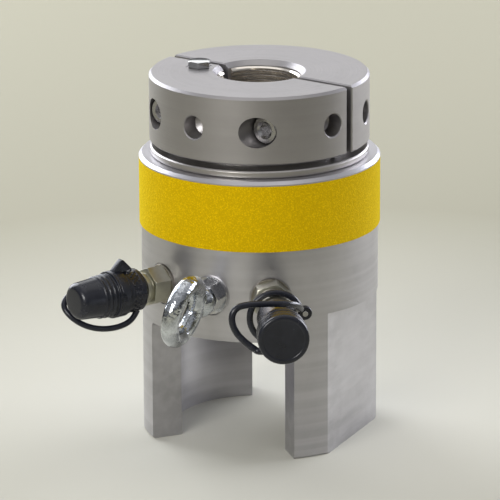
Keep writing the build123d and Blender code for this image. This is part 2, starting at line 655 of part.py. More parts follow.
def strap_line(route):
    """Centre line of a strap: straight runs joined by tangent arcs as large as the runs allow."""
    points = [Vector(*point) for point in route]
    radii = []
    for before, corner, after in zip(points, points[1:], points[2:]):
        run_in, run_out = corner - before, after - corner
        half_turn = math.radians(run_in.get_angle(run_out)) / 2
        radii.append(STRAP_ARC_SHARE * min(run_in.length, run_out.length) / math.tan(half_turn))
    return FilletPolyline(*points, radius=radii), radii


def strap(route, radius):
    """Strap of a dust cap along its route."""
    line, radii = strap_line(route)
    solid = sweep(Plane(origin=line @ 0, z_dir=line % 0) * Circle(radius), path=line)
    print(f"strap: {line.length:.1f} long, volume {solid.volume:.0f} of"
          f" {math.pi * radius ** 2 * line.length:.0f}, radii {[round(r, 1) for r in radii]}")
    return solid


def strap_lug(route, radius):
    """Lug on a dust cap, in line with the end of its strap."""
    line, _ = strap_line(route)
    seat = line @ 1 + (line % 1) * STRAP_END_GAP
    return Plane(origin=seat, z_dir=line % 1).location * rod(radius + STRAP_LUG_WALL, 0, STRAP_LUG_LENGTH)


# Left coupling


def left_nipple():
    """Nipple with its hexagon, ringed neck, ball groove and poppet valve way."""
    nipple = coupling_blank(NIPPLE_START, LEFT_HEX_TURN)
    ring_start = (HEX_END + KEEPER_START - NECK_RING_LENGTH) / 2
    ring_end = ring_start + NECK_RING_LENGTH
    nipple += turned(
        (0, ring_start), (NECK_RING_RADIUS - NECK_RING_EDGE, ring_start),
        (NECK_RING_RADIUS, ring_start + NECK_RING_EDGE), (NECK_RING_RADIUS, ring_end - NECK_RING_EDGE),
        (NECK_RING_RADIUS - NECK_RING_EDGE, ring_end), (0, ring_end),
    )
    groove_end = NIPPLE_END - NIPPLE_GROOVE_SETBACK + NIPPLE_GROOVE_WIDTH
    groove_start = groove_end - NIPPLE_GROOVE_WIDTH
    groove_radius = NIPPLE_RADIUS - NIPPLE_GROOVE_DEPTH
    nipple += turned(
        (0, NIPPLE_START - OVERRUN), (NIPPLE_RADIUS, NIPPLE_START - OVERRUN), (NIPPLE_RADIUS, groove_start),
        (groove_radius, groove_start + NIPPLE_GROOVE_DEPTH), (groove_radius, groove_end - NIPPLE_GROOVE_DEPTH),
        (NIPPLE_RADIUS, groove_end), (NIPPLE_RADIUS, NIPPLE_END - NIPPLE_TIP_EDGE),
        (NIPPLE_RADIUS - NIPPLE_TIP_EDGE, NIPPLE_END), (0, NIPPLE_END),
    )
    return nipple - valve_way(NIPPLE_CHAMBER, NIPPLE_SEAT, NIPPLE_END)


def left_retaining_band():
    """Rubber band on the nipple's neck that keeps the strap."""
    inner = NECK_RADIUS + KEEPER_FIT
    return turned(
        (inner, KEEPER_START), (KEEPER_RADIUS - RUBBER_EDGE, KEEPER_START),
        (KEEPER_RADIUS, KEEPER_START + RUBBER_EDGE), (KEEPER_RADIUS, KEEPER_END - RUBBER_EDGE),
        (KEEPER_RADIUS - RUBBER_EDGE, KEEPER_END), (inner, KEEPER_END),
    )


def left_cap_radius(station):
    """Radius of the tapered nose of the long dust cap at a station."""
    share = (station - LEFT_CAP_FLANGE_END) / (LEFT_CAP_END - LEFT_CAP_FLANGE_END)
    return LEFT_CAP_ROOT_RADIUS + share * (LEFT_CAP_NOSE_RADIUS - LEFT_CAP_ROOT_RADIUS)


def left_cap():
    """Long dust cap with a flange, beads, a pull tab over the retaining band and a lug for its strap."""
    inner = NIPPLE_RADIUS + RUBBER_GAP
    flange_edge = LEFT_CAP_FLANGE_RADIUS - RUBBER_EDGE
    cap = turned(
        (inner, LEFT_CAP_START), (flange_edge, LEFT_CAP_START),
        (LEFT_CAP_FLANGE_RADIUS, LEFT_CAP_START + RUBBER_EDGE),
        (LEFT_CAP_FLANGE_RADIUS, LEFT_CAP_FLANGE_END - RUBBER_EDGE), (flange_edge, LEFT_CAP_FLANGE_END),
        (LEFT_CAP_ROOT_RADIUS, LEFT_CAP_FLANGE_END), (LEFT_CAP_NOSE_RADIUS, LEFT_CAP_END),
        (0, LEFT_CAP_END), (0, LEFT_CAP_FLOOR), (inner, LEFT_CAP_FLOOR),
    )
    cap = fillet(cap.edges().group_by(Axis.Z)[-1], LEFT_CAP_ROUNDING)
    for count in range(LEFT_CAP_BEAD_COUNT):
        station = LEFT_CAP_FLANGE_END + (count + 0.5) * LEFT_CAP_BEAD_PITCH
        cap += tube(inner + RUBBER_EDGE, left_cap_radius(station) + LEFT_CAP_BEAD_HEIGHT,
                    station, station + LEFT_CAP_BEAD_PITCH / 2)
    tab_bottom = KEEPER_RADIUS + RUBBER_EDGE
    tab_root = LEFT_CAP_FLANGE_RADIUS - 2 * RUBBER_EDGE
    peak = LEFT_CAP_START - TAB_PEAK_SETBACK
    tab = make_face(Polyline(
        (tab_bottom, LEFT_CAP_START - TAB_BACK_LENGTH), (tab_bottom + TAB_HEIGHT, peak),
        (tab_bottom, LEFT_CAP_START + TAB_FRONT_LENGTH), (tab_root, LEFT_CAP_START + TAB_FRONT_LENGTH),
        (tab_root, LEFT_CAP_START), (tab_bottom, LEFT_CAP_START), close=True,
    ))
    cap += extrude(Plane.YZ * tab, TAB_THICKNESS / 2, both=True)
    return cap + strap_lug(LEFT_STRAP_ROUTE, LEFT_STRAP_RADIUS)


# Right coupling


def right_coupler_body():
    """Socket body with its hexagon, barrel, ball pockets, seal groove and poppet valve way."""
    body = coupling_blank(BARREL_START + OVERRUN, RIGHT_HEX_TURN)
    body += rod(BARREL_RADIUS, BARREL_START, BARREL_END) + rod(SOCKET_RADIUS, BARREL_END - OVERRUN, SOCKET_END)
    body -= valve_way(SOCKET_CHAMBER, SOCKET_SEAT, SOCKET_BORE_START)
    body -= rod(SOCKET_BORE_RADIUS, SOCKET_BORE_START, SOCKET_END + OVERRUN)
    seal_station = SOCKET_BORE_START + MOUTH_SEAL_STEP
    half_groove = MOUTH_SEAL_SECTION + MOUTH_SEAL_GAP
    groove_radius = SOCKET_BORE_RADIUS + MOUTH_SEAL_INSET + half_groove
    body -= tube(SOCKET_BORE_RADIUS - OVERRUN, groove_radius, seal_station - half_groove, seal_station + half_groove)
    low, high = SLEEVE_LAND_END, SLEEVE_LAND_END + SNAP_RING_WIDTH + 2 * SNAP_RING_GAP
    body -= tube(SOCKET_RADIUS - SNAP_RING_BELOW - SNAP_RING_GAP, FAR, low, high)
    pocket = Rot(90, 0, 0) * rod(BALL_RADIUS + BALL_FIT, 0, SOCKET_RADIUS + OVERRUN)
    for place in ball_places(0):
        body -= place * pocket
    return body


def ball_places(reach):
    """Places of the locking balls round the socket, each with -Y facing outwards."""
    station = SLEEVE_LAND_END - BALL_SETBACK
    step = 360 / BALL_COUNT
    return [Pos(0, 0, station) * Rot(0, 0, step * i) * Pos(0, -reach, 0) for i in range(BALL_COUNT)]


def right_locking_balls():
    """Balls that the sleeve holds in the socket's pockets."""
    reach = SLEEVE_LAND_RADIUS - BALL_FIT - BALL_RADIUS
    return Compound(children=[place * Sphere(BALL_RADIUS) for place in ball_places(reach)])


def right_lock_sleeve():
    """Sleeve that slides back against its spring to free the balls."""
    grip_end = SOCKET_END - SLEEVE_GRIP_SETBACK
    grip_start = grip_end - SLEEVE_GRIP_LENGTH
    grip_radius = SLEEVE_RADIUS - SLEEVE_GRIP_DEPTH
    mouth_radius = SOCKET_RADIUS + SNAP_RING_ABOVE + SLEEVE_FIT
    return turned(
        (SLEEVE_POCKET_RADIUS, SLEEVE_START), (SLEEVE_RADIUS - SLEEVE_EDGE, SLEEVE_START),
        (SLEEVE_RADIUS, SLEEVE_START + SLEEVE_EDGE), (SLEEVE_RADIUS, grip_start),
        (grip_radius, grip_start + SLEEVE_GRIP_DEPTH), (grip_radius, grip_end - SLEEVE_GRIP_DEPTH),
        (SLEEVE_RADIUS, grip_end), (SLEEVE_RADIUS, SOCKET_END - SLEEVE_EDGE),
        (SLEEVE_RADIUS - SLEEVE_EDGE, SOCKET_END), (mouth_radius, SOCKET_END),
        (mouth_radius, SLEEVE_LAND_END), (SLEEVE_LAND_RADIUS, SLEEVE_LAND_END),
        (SLEEVE_LAND_RADIUS, SLEEVE_LAND_START), (SLEEVE_POCKET_RADIUS, SLEEVE_LAND_START),
    )


def right_sleeve_spring():
    """Spring between the barrel's shoulder and the sleeve's land."""
    radius = (SOCKET_RADIUS + SLEEVE_POCKET_RADIUS) / 2
    return coil_spring(radius, SLEEVE_SPRING_WIRE, SLEEVE_SPRING_TURNS, BARREL_END, SLEEVE_LAND_START)


def right_snap_ring():
    """Open ring in the socket's groove that stops the sleeve."""
    low = SLEEVE_LAND_END + SNAP_RING_GAP
    outer = SOCKET_RADIUS + SNAP_RING_ABOVE
    ring = tube(SOCKET_RADIUS - SNAP_RING_BELOW, outer, low, low + SNAP_RING_WIDTH)
    return ring - Pos(0, outer, low) * Box(SNAP_RING_OPENING, outer, FAR)


def right_mouth_seal():
    """Seal in the socket's bore that the nipple of a hose runs in."""
    ring = Torus(SOCKET_BORE_RADIUS + MOUTH_SEAL_INSET, MOUTH_SEAL_SECTION)
    return Pos(0, 0, SOCKET_BORE_START + MOUTH_SEAL_STEP) * ring


def eyelet_place():
    """Centre of the retaining ring's eyelet."""
    a = math.radians(EYELET_ANGLE)
    return Pos(EYELET_REACH * math.cos(a), EYELET_REACH * math.sin(a) - RETAINING_SAG, RETAINING_STATION)


def right_retaining_ring():
    """Rubber ring that hangs on the barrel, with an eyelet for the strap's rivet."""
    ring = Pos(0, -RETAINING_SAG, RETAINING_STATION) * Torus(RETAINING_RADIUS, RETAINING_SECTION)
    ring += eyelet_place() * rod(EYELET_RADIUS, -RETAINING_SECTION, RETAINING_SECTION)
    return ring - eyelet_place() * rod(RIVET_RADIUS + RIVET_FIT, -FAR, FAR)


def right_strap_rivet():
    """Rivet through the eyelet, with a head at each end."""
    top = RETAINING_SECTION + RIVET_HEAD_HEIGHT
    rivet = rod(RIVET_RADIUS, -top, top)
    rivet += rod(RIVET_HEAD_RADIUS, RETAINING_SECTION, top)
    return eyelet_place() * (rivet + rod(RIVET_HEAD_RADIUS, -top, -RETAINING_SECTION))


def right_cap():
    """Short dust cap over the sleeve's end, with a rim, a groove and a lug for its strap."""
    inner = SLEEVE_RADIUS + RUBBER_GAP
    rim_end = RIGHT_CAP_START + RIGHT_CAP_RIM_LENGTH
    groove_end = rim_end + RIGHT_CAP_GROOVE_LENGTH
    step = RIGHT_CAP_RADIUS - RIGHT_CAP_GROOVE_RADIUS
    cap = turned(
        (inner, RIGHT_CAP_START), (RIGHT_CAP_RIM_RADIUS - RUBBER_EDGE, RIGHT_CAP_START),
        (RIGHT_CAP_RIM_RADIUS, RIGHT_CAP_START + RUBBER_EDGE), (RIGHT_CAP_RIM_RADIUS, rim_end),
        (RIGHT_CAP_GROOVE_RADIUS, rim_end), (RIGHT_CAP_GROOVE_RADIUS, groove_end),
        (RIGHT_CAP_RADIUS, groove_end + step), (RIGHT_CAP_RADIUS, RIGHT_CAP_END), (0, RIGHT_CAP_END),
        (0, RIGHT_CAP_FLOOR), (inner, RIGHT_CAP_FLOOR),
    )
    cap = fillet(cap.edges().group_by(Axis.Z)[-1], RIGHT_CAP_ROUNDING)
    return cap + strap_lug(RIGHT_STRAP_ROUTE, RIGHT_STRAP_RADIUS)


# Lifting eye


def eye_bolt():
    """Eye bolt: shank, collar, neck and ring, the ring turned a little out of the upright."""
    centre = EYE_COLLAR_START + EYE_RING_REACH
    neck_end = EYE_COLLAR_END + EYE_NECK_LENGTH
    bolt = rod(EYE_THREAD_RADIUS - EYE_THREAD_FIT, -EYE_SHANK_DEPTH, EYE_COLLAR_START + OVERRUN)
    bolt += turned(
        (0, EYE_COLLAR_START), (EYE_COLLAR_RADIUS, EYE_COLLAR_START), (EYE_COLLAR_RADIUS, EYE_COLLAR_END),
        (EYE_NECK_RADIUS, neck_end), (0, neck_end),
    )
    ring = Rot(0, 90, 0) * Torus(EYE_RING_RADIUS, EYE_SECTION_RADIUS)
    return bolt + Pos(0, 0, centre) * Rot(0, 0, -EYE_TURN) * ring


def eye_bolt_nut():
    """Lock nut of the eye bolt."""
    nut = hexagon(EYE_NUT_FLATS, EYE_WASHER_THICKNESS, EYE_NUT_END, EYE_NUT_EDGE)
    return nut - rod(EYE_THREAD_RADIUS, -FAR, FAR)


def eye_bolt_washer():
    """Washer between the lock nut and its spot face."""
    return tube(EYE_THREAD_RADIUS + EYE_WASHER_FIT, EYE_WASHER_RADIUS, 0, EYE_WASHER_THICKNESS)


PARTS = {
    "cylinder_body": cylinder_body(),
    "grip_band": grip_band(),
    "wiper_ring": wiper_ring(),
    "piston": piston(),
    "outer_piston_seal": lip_seal(*OUTER_SEAL_SIDES),
    "outer_backup_ring": backup_ring(*OUTER_SEAL_SIDES),
    "inner_piston_seal": lip_seal(*INNER_SEAL_SIDES),
    "inner_backup_ring": backup_ring(*INNER_SEAL_SIDES),
    "collar_front_half": collar_front_half(),
    "collar_rear_half": collar_rear_half(),
    "clamp_screws": clamp_screws(),
    "lock_screw": lock_screw(),
    "eye_bolt": at_fitting(0, eye_bolt()),
    "eye_bolt_nut": at_fitting(0, eye_bolt_nut()),
    "eye_bolt_washer": at_fitting(0, eye_bolt_washer()),
    "left_port_seal": left(port_seal()),
    "left_nipple": left(left_nipple()),
    "left_poppet": left(poppet(NIPPLE_SEAT, NIPPLE_END)),
    "left_poppet_spring": left(valve_spring(NIPPLE_CHAMBER, NIPPLE_SEAT)),
    "left_retaining_band": left(left_retaining_band()),
    "left_cap": left(left_cap()),
    "left_strap": left(strap(LEFT_STRAP_ROUTE, LEFT_STRAP_RADIUS)),
    "right_port_seal": right(port_seal()),
    "right_coupler_body": right(right_coupler_body()),
    "right_poppet": right(poppet(SOCKET_SEAT, SOCKET_BORE_START + SOCKET_THROAT_LENGTH)),
    "right_poppet_spring": right(valve_spring(SOCKET_CHAMBER, SOCKET_SEAT)),
    "right_lock_sleeve": right(right_lock_sleeve()),
    "right_sleeve_spring": right(right_sleeve_spring()),
    "right_snap_ring": right(right_snap_ring()),
    "right_locking_balls": right(right_locking_balls()),
    "right_mouth_seal": right(right_mouth_seal()),
    "right_retaining_ring": right(right_retaining_ring()),
    "right_strap_rivet": right(right_strap_rivet()),
    "right_cap": right(right_cap()),
    "right_strap": right(strap(RIGHT_STRAP_ROUTE, RIGHT_STRAP_RADIUS)),
}

os.makedirs("parts", exist_ok=True)
for name, solid in PARTS.items():
    export_step(solid, f"parts/{name}.step")
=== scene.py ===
"""Looks of the hydraulic bolt tensioner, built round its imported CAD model.

The CAD solids are the fixed frame. This script gives them their finishes, replaces the dust caps, their
straps, band and ring and the forged eye bolt with smooth meshes of the same size, adds the studs of the
band and the thread in the collar, and sets up the studio. Sizes in the classes are millimetres, as in
the part's source, unless a class says metres; every Blender object is in metres. Stations run outwards
from the spot face of a side fitting.
"""

from __future__ import annotations

import logging
import math
from abc import ABC, abstractmethod
from collections.abc import Iterable, Sequence
from dataclasses import dataclass
from enum import Enum
from itertools import groupby

import bmesh
import bpy
from mathutils import Matrix, Vector

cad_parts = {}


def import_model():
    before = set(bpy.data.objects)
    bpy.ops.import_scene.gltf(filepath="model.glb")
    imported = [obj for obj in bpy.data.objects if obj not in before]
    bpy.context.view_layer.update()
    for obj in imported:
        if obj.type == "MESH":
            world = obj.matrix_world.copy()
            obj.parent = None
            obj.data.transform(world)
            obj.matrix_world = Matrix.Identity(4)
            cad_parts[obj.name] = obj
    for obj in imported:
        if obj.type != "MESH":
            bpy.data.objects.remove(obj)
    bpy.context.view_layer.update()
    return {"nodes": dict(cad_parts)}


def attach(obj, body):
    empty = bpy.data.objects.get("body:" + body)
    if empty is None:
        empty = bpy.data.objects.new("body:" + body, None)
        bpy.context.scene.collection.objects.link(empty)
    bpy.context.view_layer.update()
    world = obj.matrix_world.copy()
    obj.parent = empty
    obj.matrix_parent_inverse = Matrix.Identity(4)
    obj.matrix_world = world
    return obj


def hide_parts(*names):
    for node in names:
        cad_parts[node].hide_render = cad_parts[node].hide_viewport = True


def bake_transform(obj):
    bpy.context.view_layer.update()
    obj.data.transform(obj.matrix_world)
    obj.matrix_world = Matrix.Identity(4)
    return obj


LOG = logging.getLogger("tensioner")
MM = 0.001

ON_AXIS = 1e-6  # a lathe point nearer to the axis than this is a pole
COLOUR_MIX_INPUTS = (0, 6, 7)  # factor and two colours among the inputs of a Mix node
ROW_GUARD = 0.25  # keeps a row's first stud out of the row before, where a division is rounded

Point = tuple[float, float, float]
Range = tuple[float, float]
Outline = Sequence[tuple[float, float]]
Ring = list[bmesh.types.BMVert]


class Finish(Enum):
    """Finishes of the object; each value is the material's name."""

    BODY = "satin_steel_body"
    COLLAR = "satin_steel_collar"
    PISTON = "ground_steel_piston"
    THREAD = "cut_steel_thread_painted_light"
    GRIP = "yellow_grip"
    SCREW = "screw_steel"
    BRIGHT_ZINC = "bright_zinc"
    DULL_ZINC = "dull_zinc"
    FORGED_ZINC = "forged_zinc"
    SLEEVE_PAINTED_DARK = "sleeve_painted_dark_reflection"
    YELLOW_ZINC = "yellow_zinc"
    WASHER = "sealing_washer"
    SPRING = "spring_steel"
    RUBBER = "cap_rubber"
    SEAL = "seal_rubber"
    SEAL_PLASTIC = "seal_plastic"
    BACKUP = "backup_plastic"
    FLOOR = "studio_floor"


class Slot(Enum):
    """Material slots of the record; new pieces pass one along, but nothing reads it."""

    RUBBER = "cap_rubber"
    COLLAR = "blackened_steel"
    ZINC = "bright_zinc"


FINISHED_NODES: dict[Finish, tuple[str, ...]] = {
    Finish.BODY: ("cylinder_body",),
    Finish.PISTON: ("piston",),
    Finish.COLLAR: ("collar_front_half", "collar_rear_half"),
    Finish.GRIP: ("grip_band",),
    Finish.SCREW: ("clamp_screws", "right_strap_rivet"),
    Finish.BRIGHT_ZINC: ("lock_screw",),
    Finish.DULL_ZINC: ("eye_bolt_nut", "eye_bolt_washer"),
    Finish.SLEEVE_PAINTED_DARK: ("right_lock_sleeve",),
    Finish.FORGED_ZINC: ("eye_bolt",),
    Finish.YELLOW_ZINC: ("left_nipple", "left_poppet", "right_coupler_body", "right_poppet"),
    Finish.WASHER: ("left_port_seal", "right_port_seal"),
    Finish.SPRING: (
        "left_poppet_spring", "right_poppet_spring", "right_sleeve_spring", "right_snap_ring",
        "right_locking_balls",
    ),
    Finish.RUBBER: (
        "left_retaining_band", "left_cap", "left_strap", "right_retaining_ring", "right_cap", "right_strap",
    ),
    Finish.SEAL: ("wiper_ring", "right_mouth_seal"),
    Finish.SEAL_PLASTIC: ("outer_piston_seal", "inner_piston_seal"),
    Finish.BACKUP: ("outer_backup_ring", "inner_backup_ring"),
}

EDGE_WIDTHS: dict[float, tuple[str, ...]] = {
    0.35: ("cylinder_body",),
    0.3: ("collar_front_half", "collar_rear_half", "grip_band"),
    0.25: ("piston",),
    0.2: ("left_nipple", "right_coupler_body", "right_lock_sleeve", "right_strap_rivet"),
    0.15: (
        "clamp_screws", "lock_screw", "eye_bolt_nut", "eye_bolt_washer", "left_port_seal", "right_port_seal",
    ),
}


def direction(azimuth: float, elevation: float) -> Vector:
    """Unit vector from the tool towards a viewpoint in degrees; azimuth 0 is the front."""
    a, e = math.radians(azimuth), math.radians(elevation)
    return Vector((math.sin(a) * math.cos(e), -math.cos(a) * math.cos(e), math.sin(e)))


def aim(name: str, data: bpy.types.ID, target: Vector, reach: Vector, roll: float = 0.0) -> bpy.types.Object:
    """Adds a camera or a light that looks at a target.

    Args:
        name: the object's name.
        data: its camera or light.
        target: the point it looks at.
        reach: way from the target to the object.
        roll: turn about its own axis in degrees.

    Returns:
        The object.
    """
    thing = bpy.data.objects.new(name, data)
    bpy.context.scene.collection.objects.link(thing)
    thing.location = target + reach
    thing.rotation_mode = "QUATERNION"
    spin = Matrix.Rotation(math.radians(roll), 4, "Z").to_quaternion()
    thing.rotation_quaternion = (-reach).to_track_quat("-Z", "Y") @ spin
    return thing


@dataclass(frozen=True)
class Fitting:
    """A fitting on the side of the body: its direction and the level and reach of its spot face."""

    angle: float
    height: float = 105.8
    reach: float = 73.0

    @property
    def place(self) -> Matrix:
        """Frame of the fitting.

        Returns:
            The frame in metres, with Z outwards, X to the right and Y up.
        """
        a = math.radians(self.angle)
        axes = Matrix(((math.cos(a), 0, math.sin(a)), (math.sin(a), 0, -math.cos(a)), (0, 1, 0)))
        origin = Vector((self.reach * math.sin(a), -self.reach * math.cos(a), self.height)) * MM
        return Matrix.Translation(origin) @ axes.to_4x4()

    def point(self, right: float, up: float, station: float) -> Vector:
        """A point of the fitting's own frame, in the object's frame."""
        return self.place @ (Vector((right, up, station)) * MM)


LEFT = Fitting(-29.7)
RIGHT = Fitting(29.7)
EYE = Fitting(0.0)


@dataclass(frozen=True)
class CameraPose:
    """The photograph's camera, aimed near the tool's axis; places are metres, lens and sensor millimetres."""

    azimuth: float = 24.6
    elevation: float = 16.65
    distance: float = 2.664
    target: Point = (-0.00042, 0.0, 0.1121)
    roll: float = -0.2
    lens: float = 305.1
    sensor: float = 36.0
    shift: Range = (-0.01838, 0.00694)
    clip: Range = (0.05, 30.0)

    def build(self) -> None:
        """Makes the scene's camera."""
        turn = Matrix.Rotation(math.radians(self.azimuth), 4, "Z")
        target = turn @ Vector((self.target[0], 0, 0)) + Vector((0, 0, self.target[2]))
        data = bpy.data.cameras.new("photo_camera")
        data.lens = self.lens
        data.sensor_width = self.sensor
        data.shift_x, data.shift_y = self.shift
        data.clip_start, data.clip_end = self.clip
        reach = direction(self.azimuth, self.elevation) * self.distance
        bpy.context.scene.camera = aim("photo_camera", data, target, reach, self.roll)


class Graph:
    """Short hand for building a node tree."""

    def __init__(self, tree: bpy.types.NodeTree) -> None:
        """Starts on a tree."""
        self.tree = tree

    def node(self, kind: str, inputs: dict[str, object] | None = None, **settings: object) -> bpy.types.Node:
        """Adds a node.

        Args:
            kind: the node's type name.
            inputs: values or other nodes' sockets by input name.
            settings: the node's own properties.

        Returns:
            The new node.
        """
        node = self.tree.nodes.new(kind)
        for key, value in settings.items():
            setattr(node, key, value)
        self.feed_all(node, inputs or {})
        return node

    def feed_all(self, node: bpy.types.Node, inputs: dict[str, object]) -> None:
        """Links or sets a node's inputs by name."""
        for name, value in inputs.items():
            self.feed(node.inputs[name], value)

    def feed(self, socket: bpy.types.NodeSocket, value: object) -> None:
        """Links or sets one input.

        Args:
            socket: the input.
            value: another node's socket, a number or a colour.
        """
        if isinstance(value, bpy.types.NodeSocket):
            self.tree.links.new(value, socket)
        elif isinstance(value, tuple):
            socket.default_value = (*value, 1.0)
        else:
            socket.default_value = value

    def math(self, operation: str, *values: object) -> bpy.types.NodeSocket:
        """Takes one arithmetic step.

        Args:
            operation: the step's name.
            values: numbers or sockets that it works on.

        Returns:
            The socket of its result.
        """
        node = self.node("ShaderNodeMath", operation=operation)
        for socket, value in zip(node.inputs, values):
            self.feed(socket, value)
        return node.outputs[0]

    def mix(self, factor: object, first: object, second: object) -> bpy.types.NodeSocket:
        """Mixes two colours.

        Args:
            factor: share of the second one.
            first: colour or socket at factor 0.
            second: colour or socket at factor 1.

        Returns:
            The socket of the mixed colour.
        """
        node = self.node("ShaderNodeMix", data_type="RGBA")
        for index, value in zip(COLOUR_MIX_INPUTS, (factor, first, second)):
            self.feed(node.inputs[index], value)
        return node.outputs[2]

    def remap(self, value: object, given: Range, wanted: Range = (0.0, 1.0)) -> bpy.types.NodeSocket:
        """Maps a value from one range to another, clamped.

        Args:
            value: the value's socket.
            given: its range.
            wanted: what the ends of that range become.

        Returns:
            The socket of the mapped value.
        """
        (low, high), (to_low, to_high) = given, wanted
        inputs = {"Value": value, "From Min": low, "From Max": high, "To Min": to_low, "To Max": to_high}
        return self.node("ShaderNodeMapRange", inputs).outputs[0]

    def noise(
        self, vector: object, scale: object, detail: float, roughness: float = 0.5,
    ) -> bpy.types.NodeSocket:
        """Value of a noise texture at a place."""
        inputs = {"Vector": vector, "Scale": scale, "Detail": detail, "Roughness": roughness}
        return self.node("ShaderNodeTexNoise", inputs).outputs[0]

    def place(self) -> bpy.types.NodeSocket:
        """The point that is shaded, in the object's frame."""
        return self.node("ShaderNodeTexCoord").outputs["Object"]

    def group(self, tree: bpy.types.NodeTree, value: float) -> bpy.types.bpy_prop_collection:
        """Places a node group.

        Args:
            tree: the group.
            value: value of its one input.

        Returns:
            The group's outputs.
        """
        group = self.node("ShaderNodeGroup", node_tree=tree)
        group.inputs[0].default_value = value
        return group.outputs


class SurfaceGroups:
    """Shader node groups that several finishes share; lines, spots and lumps are counted per metre."""

    TURN_DRIFT = 0.0004
    BROAD_LINES = 160.0
    CLOUD_RANGE = (0.3, 0.7)
    SPOTS_PER_CLOUD = 14.0
    SPOT_RANGE = (0.56, 0.72)
    GRAIN_REACH = 0.75
    LUMPS = 420.0
    LUMP_HEIGHT = 1.4

    def __init__(self) -> None:
        """Builds each group once."""
        self.turning = self._turning()
        self.clouds = self._clouds()
        self.grit = self._grit()

    @staticmethod
    def _start(
        name: str, label: str, default: float, outputs: Sequence[str],
    ) -> tuple[Graph, bpy.types.NodeSocket]:
        """Makes an empty group.

        Args:
            name: the group's name.
            label: name of its one input.
            default: the input's default.
            outputs: names of its outputs, all plain values.

        Returns:
            The group's graph and the socket that carries the input.
        """
        tree = bpy.data.node_groups.new(name, "ShaderNodeTree")
        socket = tree.interface.new_socket(label, in_out="INPUT", socket_type="NodeSocketFloat")
        socket.default_value = default
        for output in outputs:
            tree.interface.new_socket(output, in_out="OUTPUT", socket_type="NodeSocketFloat")
        graph = Graph(tree)
        return graph, graph.node("NodeGroupInput").outputs[0]

    def _turning(self) -> bpy.types.NodeTree:
        """Draws fine marks of the lathe round the tool's axis, on its sides and on its end faces.

        Returns:
            The group.
        """
        graph, lines = self._start(
            "turning_marks", "Lines per metre", default=2500.0, outputs=("Mark", "Broad"),
        )
        x, y, z = graph.node("ShaderNodeSeparateXYZ", {"Vector": graph.place()}).outputs
        squares = (graph.math("MULTIPLY", x, x), graph.math("MULTIPLY", y, y))
        radius = graph.math("SQRT", graph.math("ADD", *squares))
        drift = graph.math("MULTIPLY", graph.math("ARCTAN2", y, x), self.TURN_DRIFT)
        across = graph.node("ShaderNodeCombineXYZ", {"X": radius, "Y": z, "Z": drift}).outputs[0]
        graph.node("NodeGroupOutput", {
            "Mark": graph.noise(across, lines, detail=2.0),
            "Broad": graph.noise(across, self.BROAD_LINES, detail=3.0),
        })
        return graph.tree

    def _clouds(self) -> bpy.types.NodeTree:
        """Draws the soft uneven tone of handled metal, and small spots.

        Returns:
            The group.
        """
        graph, scale = self._start("clouds", "Scale", default=30.0, outputs=("Cloud", "Spot"))
        cloud = graph.noise(graph.place(), scale, detail=4.0, roughness=0.55)
        spots = graph.math("MULTIPLY", scale, self.SPOTS_PER_CLOUD)
        fine = graph.noise(graph.place(), spots, detail=3.0, roughness=0.6)
        graph.node("NodeGroupOutput", {
            "Cloud": graph.remap(cloud, self.CLOUD_RANGE),
            "Spot": graph.remap(fine, self.SPOT_RANGE),
        })
        return graph.tree

    def _grit(self) -> bpy.types.NodeTree:
        """Draws the grains of a rough coat: their height and their tint.

        Returns:
            The group.
        """
        graph, scale = self._start("grit", "Scale", default=1500.0, outputs=("Height", "Tint"))
        inputs = {"Vector": graph.place(), "Scale": scale, "Randomness": 1.0}
        cells = graph.node("ShaderNodeTexVoronoi", inputs)
        grain = graph.remap(cells.outputs["Distance"], (0.0, self.GRAIN_REACH), (1.0, 0.0))
        lumps = graph.noise(graph.place(), self.LUMPS, detail=3.0, roughness=0.6)
        graph.node("NodeGroupOutput", {
            "Height": graph.math("ADD", grain, graph.math("MULTIPLY", lumps, self.LUMP_HEIGHT)),
            "Tint": graph.math("MULTIPLY", grain, lumps),
        })
        return graph.tree


class Surface(Graph):
    """A material's node tree with its Principled shader and the shared groups."""

    def __init__(self, tree: bpy.types.NodeTree, groups: SurfaceGroups) -> None:
        """Starts on a new material's tree.

        Args:
            tree: the material's nodes.
            groups: the shared node groups.
        """
        super().__init__(tree)
        self.groups = groups
        self.shader = next(n for n in tree.nodes if n.type == "BSDF_PRINCIPLED")

    def clouds(self, scale: float) -> bpy.types.bpy_prop_collection:
        """Outputs Cloud and Spot of the shared clouds."""
        return self.group(self.groups.clouds, scale)

    def finish(self, inputs: dict[str, object]) -> None:
        """Links or sets the shader's inputs by name."""
        self.feed_all(self.shader, inputs)

    def bump(self, height: object, relief: Range) -> None:
        """Feeds a height to the shader's normal; the relief is its reach in metres and its strength."""
        inputs = {"Height": height, "Distance": relief[0], "Strength": relief[1]}
        self.finish({"Normal": self.node("ShaderNodeBump", inputs).outputs[0]})


class Recipe(ABC):
    """How a finish is built on a Principled shader."""

    @abstractmethod
    def dress(self, surface: Surface) -> None:
        """Builds the finish's nodes.

        Args:
            surface: the material that gets them.
        """


